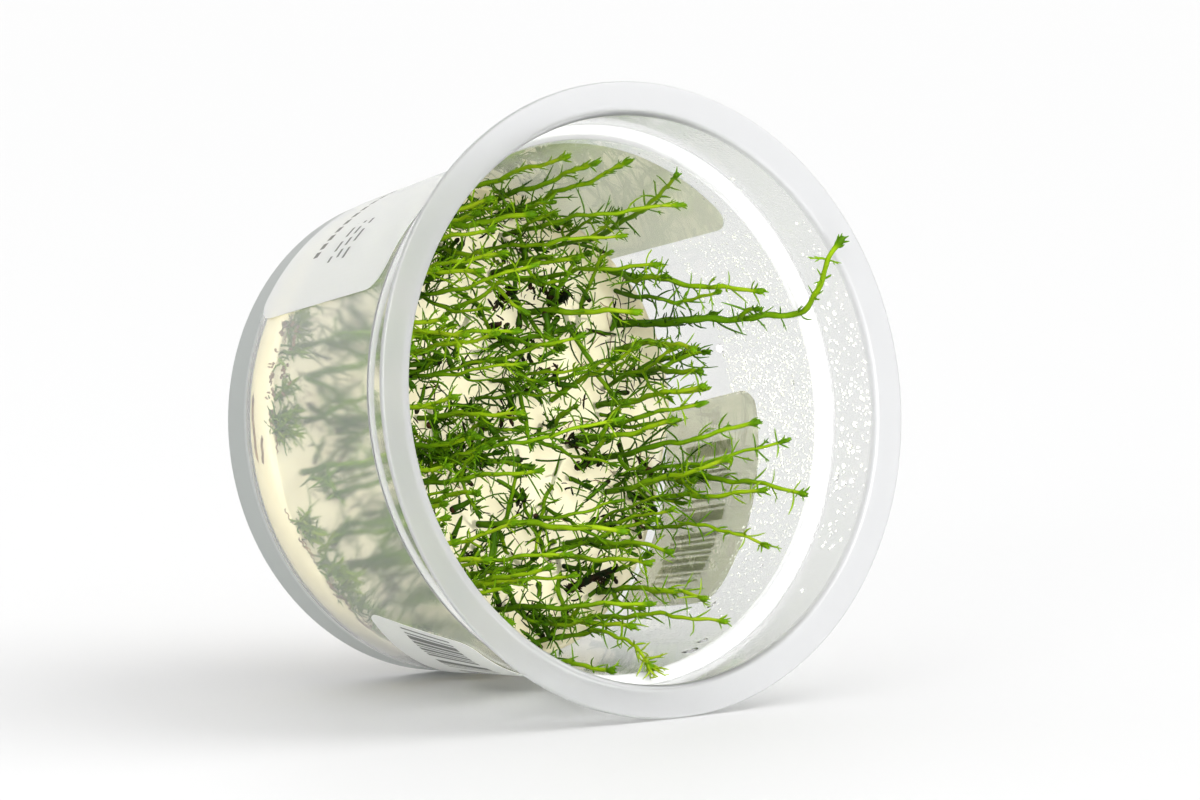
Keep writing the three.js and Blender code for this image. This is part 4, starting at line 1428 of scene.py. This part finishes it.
    def add_roots(self, rng, count):
        """Fine roots that wander over the gel."""
        roots = Strands()
        for _ in range(count):
            x, y = random_place(rng, GROWTH_R)
            turn = rng.uniform(0, FULL_TURN)
            points = []
            for k in range(9):
                points.append((x, y, gel_top(x, y) + 0.04 + 0.12 * math.sin(k)))
                turn += rng.uniform(-0.6, 0.6)
                step = rng.uniform(0.5, 1.1)
                x, y = x + step * math.cos(turn), y + step * math.sin(turn)
                if math.hypot(x, y) > GROWTH_R + 0.5:
                    break
            if len(points) > 3:
                thick = rng.uniform(0.06, 0.12)
                roots.add(points, [thick] * (len(points) - 1) + [0.4 * thick], [0.0] * len(points))
        add_piece("roots", roots.mesh("roots", LEAF_SIDES, shared("root", root_finish)), "dead_stem")

    def add_cut_pieces(self, rng, feet, green, count):
        """Short pieces of old stem with a black cut end."""
        stems, leaves, ends = Strands(), Strands(), Strands()
        for _ in range(count):
            x, y = low_place(rng, feet, 0.5, 3.5)
            middle = np.array([x, y, gel_top(x, y) + rng.uniform(0.6, 6)])
            way = random_way(rng, 0.6)
            half, r = rng.uniform(*CUT_HALF), rng.uniform(*CUT_R)
            start, end = middle - half * way, middle + half * way
            if inside_cup(start) and inside_cup(end):
                grow(stems, leaves, Path([start, middle + (0, 0, 0.3), end]), rng, r, 2.8, 1.8, LEAN,
                     (0.02, 0.3), bud=False, wobble=0.1)
                reach = rng.uniform(*CUT_END)
                ends.add([start + at * reach * way for at in CUT_END_AT],
                         [width * r for width in CUT_END_WIDTHS], [0.0] * len(CUT_END_AT))
        add_piece("cut_pieces", leafy("cut_pieces", stems, leaves, STEM_SIDES, green), "leaf")
        add_piece("cut_ends", ends.mesh("ends", STEM_SIDES, shared("dead_tissue", dead_finish)), "dead_stem")

    def add_rim_growth(self, rng, green, tufts, roots):
        """Small tufts and brown roots along the wall on the left, which shows them."""
        stems, leaves, brown = Strands(), Strands(), Strands()
        for _ in range(tufts):
            angle, size = rng.gauss(rng.choice(RIM_CLUMPS), 2.2), rng.uniform(1.5, 9.0)
            foot = on_wall(angle, GEL_TOP - 0.2, rng.uniform(0.6, 3.5))
            tip = on_wall(angle + rng.uniform(-6, 6), GEL_TOP + size, rng.uniform(0.8, 3))
            shade = rng.uniform(0.35, 0.7)
            grow(stems, leaves, bend(foot, (foot + tip) / 2, tip, 12), rng, rng.uniform(0.25, 0.42), 1.6,
                 rng.uniform(1.4, 2.6), LEAN, (shade, shade + 0.3), bud=False)
        spans = [(rng.gauss(rng.choice(RIM_CLUMPS), 3), rng.uniform(1, 5), rng.uniform(13.4, 16),
                  rng.uniform(0.07, 0.2)) for _ in range(roots)]
        spans += [(rng.uniform(*SCRAP_SPAN), rng.uniform(0.3, 1.2), rng.uniform(12.5, 20),
                   rng.uniform(0.1, 0.22)) for _ in range(roots)]
        for angle, reach, height, r in spans + WALL_STEMS:
            rise = rng.uniform(-0.12, 0.12)
            wave = min(0.3, 0.05 / r)
            points = [on_wall(angle + k * reach / RIM_STEPS, height + k * rise + wave * math.sin(1.7 * k),
                              0.2 + 0.6 * r) for k in range(RIM_STEPS + 1)]
            brown.add(points, [0.5 * r] + [r] * (RIM_STEPS - 1) + [0.4 * r], [0.0] * len(points))
        add_piece("undergrowth_rim", leafy("rim", stems, leaves, THIN_STEM_SIDES, green), "leaf")
        add_piece("rim_roots", brown.mesh("brown", THIN_STEM_SIDES, shared("root", root_finish)), "dead_stem")

    def add_shreds(self, rng, feet, count):
        """Dead leaves and thin scraps in the low growth."""
        shreds = Strands()
        for _ in range(count):
            x, y = near_foot(rng, feet, 4)
            place = np.array([x, y, gel_top(x, y) + abs(rng.gauss(0.4, 2.5))])
            way = random_way(rng, 0.6)
            curl = np.cross(way, random_way(rng))
            length, thick = rng.uniform(0.8, 3.6), rng.choice(SHRED_RADII)
            shares = np.linspace(0, 1, 5)[:, None]
            points = place + length * (shares * way + 0.7 * shares**2 * curl)
            if inside_cup(points[0]) and inside_cup(points[-1]):
                shreds.add(points, thick * np.array([0.5, 1.1, 0.9, 1.0, 0.3]), [0.0] * 5)
        add_piece("dead_shreds", shreds.mesh("shreds", 5, shared("dead_tissue", dead_finish)), "dead_stem")

    def add_knots(self, rng, count):
        """Black knots of dead bits, where old stems end between the shoots."""
        bits = Strands()
        for x, y, rise, spread in KNOTS:
            for _ in range(count):
                aside, up = rng.gauss(x, spread), rng.gauss(y, spread)
                place = np.array([aside, up, gel_top(x, y) + rng.gauss(rise, 0.9)])
                way = random_way(rng, 0.8)
                length, thick = rng.uniform(1.0, 2.8), rng.choice(KNOT_RADII)
                shares = np.linspace(0, 1, 5)[:, None]
                points = place + length * (shares * way + 0.3 * shares**2 * across(way)[0])
                if inside_cup(points[0]) and inside_cup(points[-1]):
                    bits.add(points, thick * np.array([0.6, 1.1, 0.8, 1.0, 0.4]), [0.0] * 5)
        add_piece("dead_knots", bits.mesh("knots", 6, shared("dead_tissue", dead_finish)), "dead_stem")

    def add_stubs(self, green):
        """The dead stem pieces that the solids hold, with scraps round them."""
        dead = shared("dead_tissue", dead_finish)
        for name, (start, end, r) in STUBS.items():
            rng = random.Random(name)
            first, last = (np.array([x, y, gel_top(x, y) + h]) for x, y, h in (start, end))
            shares = np.linspace(0, 1, STUB_STEPS)
            points = first + shares[:, None] * (last - first)
            points[:, :2] += 0.12 * np.sin(5 * shares + rng.uniform(0, 6))[:, None]
            radii = r * (0.8 - 0.3 * shares) * np.array([rng.uniform(0.7, 1.2) for _ in shares])
            radii[[0, -1]] *= 0.5
            body, scraps = Strands(), Strands()
            body.add(points, radii, [0.15] * STUB_STEPS)
            for _ in range(STUB_SCRAPS):
                root = points[rng.randrange(STUB_STEPS)]
                way = random_way(rng, 0.7, 0.2)
                size = rng.uniform(0.8, 2.8)
                scraps.add([root, root + 0.6 * size * way, root + size * way + (0, 0, 0.2)],
                           [0.22, 0.18, 0.06], [0.0] * 3)
            finish = green if name == "stub_fallen" else dead
            mesh = joined(name, body.mesh("body", 9, finish), scraps.mesh("scraps", LEAF_SIDES, finish))
            add_piece(name.replace("stub", "stem"), mesh, "dead_stem", name)


class SCENE_OT_dew(bpy.types.Operator):
    """Make the drops of condensation on the cup's inner side"""

    bl_idname = "culture_cup.dew"
    bl_label = "Dew"

    def execute(self, context):
        dew = settings().dew
        rng = random.Random(dew.seed)
        drops = []
        for count, (middle, spread, low, high, log, log_spread, largest) in (
                (dew.fine_drops, WALL_DROPS), (dew.neck_drops, NECK_DROPS)):
            for _ in range(count):
                angle, height = rng.gauss(middle, spread), rng.uniform(low, high)
                size = dew.fine_radius / MM * min(rng.lognormvariate(log, log_spread), largest)
                if not behind_sticker(angle, height):
                    drops.append((angle, height, size, DROP_STRETCH))
        self.add_drops("dew_drops", drops, self.bead(8, 2), mist_finish())
        self.add_drops("water_drops", BIG_DROPS, self.bead(20, 8), water_finish())
        return {"FINISHED"}

    def bead(self, turns, rows):
        """A round bead with a flat foot."""
        bm = bmesh.new()
        bmesh.ops.create_uvsphere(bm, u_segments=turns, v_segments=2 * rows, radius=1)
        bmesh.ops.bisect_plane(bm, geom=everything(bm), plane_co=(0, 0, DROP_CUT), plane_no=(0, 0, -1),
                               clear_outer=True)
        bmesh.ops.holes_fill(bm, edges=[edge for edge in bm.edges if edge.is_boundary], sides=0)
        bmesh.ops.recalc_face_normals(bm, faces=bm.faces)
        return to_mesh(bm, "bead")

    def add_drops(self, name, drops, bead, water):
        """Sets beads flat on the wall, the shoulder or the neck."""
        rest = np.empty(3 * len(bead.vertices), np.float32)
        bead.vertices.foreach_get("co", rest)
        rest = rest.reshape(-1, 3)
        bm = bmesh.new()
        for angle, height, size, stretch in drops:
            turn = math.radians(angle)
            inward = np.array([-math.sin(turn), -math.cos(turn), 0])
            along = np.array([0, 0, 1.0])
            side = np.cross(along, inward)
            foot = height * along - wall_r(height) * inward
            if SHOULDER_LOW < height < SHOULDER_TOP:
                inward, along = (unit(inward * SHOULDER_RISE + along * SHOULDER_RUN),
                                 unit(along * SHOULDER_RISE - inward * SHOULDER_RUN))
            shape = np.stack([size * side, size * stretch * along, DROP_RISE * size * inward])
            bead.vertices.foreach_set("co", (rest @ shape + foot).astype(np.float32).ravel())
            bm.from_mesh(bead)
        bpy.data.meshes.remove(bead)
        add_piece(name, to_mesh(bm, name, water), "cup_plastic")


# Settings and panel


def color_prop(name, description, default):
    return FloatVectorProperty(name=name, description=description, default=default, min=0, max=1,
                               size=3, subtype="COLOR")


def length_prop(name, description, default):
    return FloatProperty(name=name, description=description, default=default, min=0, unit="LENGTH")


def share_prop(name, description, default):
    return FloatProperty(name=name, description=description, default=default, min=0, max=1,
                         subtype="FACTOR")


def strength_prop(name, description, default, unit="NONE"):
    return FloatProperty(name=name, description=description, default=default, min=0, unit=unit)


def place_prop(name, description, default):
    return FloatVectorProperty(name=name, description=description, default=default, subtype="TRANSLATION")


def angle_prop(name, description, degrees):
    return FloatProperty(name=name, description=description, default=math.radians(degrees),
                         subtype="ANGLE")


def count_prop(name, description, default):
    return IntProperty(name=name, description=description, default=default, min=0)


class CupSettings(bpy.types.PropertyGroup):
    color: color_prop("Colour", "Colour of the plastic", (0.9, 0.905, 0.9))
    clarity: share_prop("Clarity", "Share of light that goes through", 0.985)
    roughness: share_prop("Roughness", "How much the wall blurs", 0.09)
    # The foot's darker colour and lower clarity are partly denser plastic and partly painted shade of the dim
    # hollow behind it.
    foot_color: color_prop("Foot colour", "Colour of the denser plastic at the foot", (0.42, 0.45, 0.43))
    foot_clarity: share_prop("Foot clarity", "Share of light through the foot", 0.7)
    foot_roughness: share_prop("Foot roughness", "How much the foot blurs", 0.3)
    flange_color: color_prop("Flange colour", "Colour of the thicker flange", (0.67, 0.675, 0.68))
    flange_clarity: share_prop("Flange clarity", "Share of light through the flange", 0.84)
    turns: count_prop("Turns", "Facets round the cup", 160)


class GelSettings(bpy.types.PropertyGroup):
    color: color_prop("Colour", "Colour of the gel", (1.0, 0.95, 0.7))
    speck_color: color_prop("Speck colour", "Colour of specks in the gel", (0.16, 0.1, 0.06))
    clarity: share_prop("Clarity", "Share of light that goes through", 0.7)
    clearance: length_prop("Clearance", "Gap to the cup's wall", 0.0002)


class StickerSettings(bpy.types.PropertyGroup):
    face_color: color_prop("Face colour", "Colour of the paper", (0.95, 0.955, 0.985))
    face_clarity: share_prop("Face clarity", "Share of light through the outer side", 0.6)
    bar_color: color_prop("Bar colour", "Colour of the plain bars", (0.03, 0.03, 0.03))
    # The back's cream tint and the olive of the show-through bars are painted light from the gel and the
    # shoots; the paper and the bars showing through are real.
    back_color: color_prop("Back colour", "Colour of the paper seen through the cup", (0.98, 0.98, 0.74))
    back_clarity: share_prop("Back clarity", "Share of light through the inner side", 0.88)
    show_color: color_prop("Show-through colour", "Colour of the bars seen from behind", (0.38, 0.46, 0.05))
    thickness: length_prop("Thickness", "Thickness of the paper", 0.00014)


class PlantSettings(bpy.types.PropertyGroup):
    stem_radius: length_prop("Stem radius", "Radius of a stem", 0.00047)
    leaf_length: length_prop("Leaf length", "Length of a needle leaf", 0.0029)
    leaf_radius: length_prop("Leaf radius", "Radius of a needle leaf", 0.00018)
    whorl_gap: length_prop("Whorl gap", "Stem between two whorls", 0.0042)
    # Darker near the gel: partly older tissue, partly painted shade deep in the growth.
    old_and_shaded_color: color_prop("Old colour", "Colour near the gel", (0.012, 0.042, 0.001))
    green_color: color_prop("Green", "Colour of grown leaves", (0.06, 0.145, 0.002))
    fresh_color: color_prop("Fresh green", "Colour of young leaves", (0.15, 0.25, 0.004))
    tip_color: color_prop("Tip colour", "Colour of the youngest leaves", (0.2, 0.28, 0.01))
    dead_color: color_prop("Dead colour", "Colour of dead stems", (0.009, 0.006, 0.003))
    seed: count_prop("Seed", "Which of the random plants is made", 7)


class UndergrowthSettings(bpy.types.PropertyGroup):
    tufts: count_prop("Tufts", "Number of short shoots", 46)
    runners: count_prop("Runners", "Number of leaning shoots", 32)
    crossing: count_prop("Crossing", "Number of flat shoots", 32)
    hidden: count_prop("Hidden", "Number of shoots behind the wall", 28)
    loose_leaves: count_prop("Loose leaves", "Number of long thin leaves", 300)
    roots: count_prop("Roots", "Number of roots on the gel", 60)
    cut_pieces: count_prop("Cut pieces", "Number of old stem pieces", 110)
    shreds: count_prop("Shreds", "Number of dead scraps", 420)
    knot_bits: count_prop("Knot bits", "Number of dead bits in a knot", 15)
    rim_tufts: count_prop("Rim tufts", "Number of tufts along the wall", 85)
    rim_roots: count_prop("Rim roots", "Number of roots along the wall", 34)
    seed: count_prop("Seed", "Which of the random growths is made", 11)


class DewSettings(bpy.types.PropertyGroup):
    fine_drops: count_prop("Fine drops", "Number of fine drops", 3000)
    neck_drops: count_prop("Neck drops", "Number of drops in the neck", 300)
    fine_radius: length_prop("Fine radius", "Radius of a fine drop", 0.00014)
    seed: count_prop("Seed", "Which of the random patterns is made", 5)


class StageSettings(bpy.types.PropertyGroup):
    floor_size: length_prop("Floor size", "Side of the floor", 6.0)
    floor_color: color_prop("Floor colour", "Colour of the floor", (0.75, 0.75, 0.75))
    ambient: strength_prop("Ambient", "Strength of the light all round", 1.0)
    key_power: strength_prop("Key light", "Strength of the main light", 1.4)
    key_angle: angle_prop("Key softness", "Width of the main light", 50)
    key_place: place_prop("Key place", "Where the main light comes from", (0.62, -0.3, 0.74))
    fill_power: strength_prop("Fill light", "Power of the second lamp", 15.0, "POWER")
    fill_size: length_prop("Fill size", "Side of the second lamp", 0.7)
    fill_place: place_prop("Fill place", "Where the second lamp stands", (-0.2, -0.9, 0.45))
    side_power: strength_prop("Side light", "Power of the low lamp on the left", 2.0, "POWER")
    side_size: length_prop("Side size", "Side of the low lamp", 0.5)
    side_place: place_prop("Side place", "Where the low lamp stands", (-0.75, -0.4, 0.2))
    inner_power: strength_prop("Inner light", "Strength of the light that passes the wall", 2.9)
    inner_place: place_prop("Inner place", "Where the inner light comes from", (-0.75, -0.45, 0.4))
    inner_color: color_prop("Inner light colour", "Colour of the light that passes the wall",
                            (1.0, 0.93, 0.72))
    back_power: strength_prop("Back light", "Strength of the light through the gel", 0.25)
    back_place: place_prop("Back place", "Where the light through the gel comes from", (0.58, 0.81, -0.11))
    under_power: strength_prop("Under light", "Strength of the light back from the floor", 1.45)
    under_place: place_prop("Under place", "Where the light from below comes from", (-0.1, -0.8, -0.6))
    lens: strength_prop("Lens", "Focal length", 208.97, "CAMERA")
    camera_place: place_prop("Camera place", "Where the camera stands", (-0.6407, -0.9003, 0.1717))
    camera_turn: angle_prop("Camera turn", "Turn from looking along +Y to the right", 35.936)
    camera_down: angle_prop("Camera down", "Angle by which the camera looks down", 6.469)


class CultureCupSettings(bpy.types.PropertyGroup):
    stage: PointerProperty(type=StageSettings)
    cup: PointerProperty(type=CupSettings)
    gel: PointerProperty(type=GelSettings)
    stickers: PointerProperty(type=StickerSettings)
    plants: PointerProperty(type=PlantSettings)
    undergrowth: PointerProperty(type=UndergrowthSettings)
    dew: PointerProperty(type=DewSettings)


OPERATORS = (SCENE_OT_stage, SCENE_OT_cup, SCENE_OT_gel, SCENE_OT_stickers, SCENE_OT_shoots,
             SCENE_OT_undergrowth, SCENE_OT_dew)


class VIEW3D_PT_culture_cup(bpy.types.Panel):
    """Lists the pieces in the order in which they are made"""

    bl_label = "Culture Cup"
    bl_space_type = "VIEW_3D"
    bl_region_type = "UI"
    bl_category = "Culture Cup"

    def draw(self, context):
        for operator in OPERATORS:
            self.layout.operator(operator.bl_idname)
        for name in CultureCupSettings.__annotations__:
            group = getattr(context.scene.culture_cup, name)
            box = self.layout.box()
            for key in group.__annotations__:
                box.prop(group, key)


CLASSES = (StageSettings, CupSettings, GelSettings, StickerSettings, PlantSettings, UndergrowthSettings,
           DewSettings, CultureCupSettings, *OPERATORS, VIEW3D_PT_culture_cup)


def register():
    for made in CLASSES:
        bpy.utils.register_class(made)
    bpy.types.Scene.culture_cup = PointerProperty(type=CultureCupSettings)


def unregister():
    del bpy.types.Scene.culture_cup
    for made in reversed(CLASSES):
        bpy.utils.unregister_class(made)


def main():
    register()
    for operator in ("stage", "cup", "gel", "stickers", "shoots", "undergrowth", "dew"):
        getattr(bpy.ops.culture_cup, operator)()


if __name__ == "__main__":
    main()
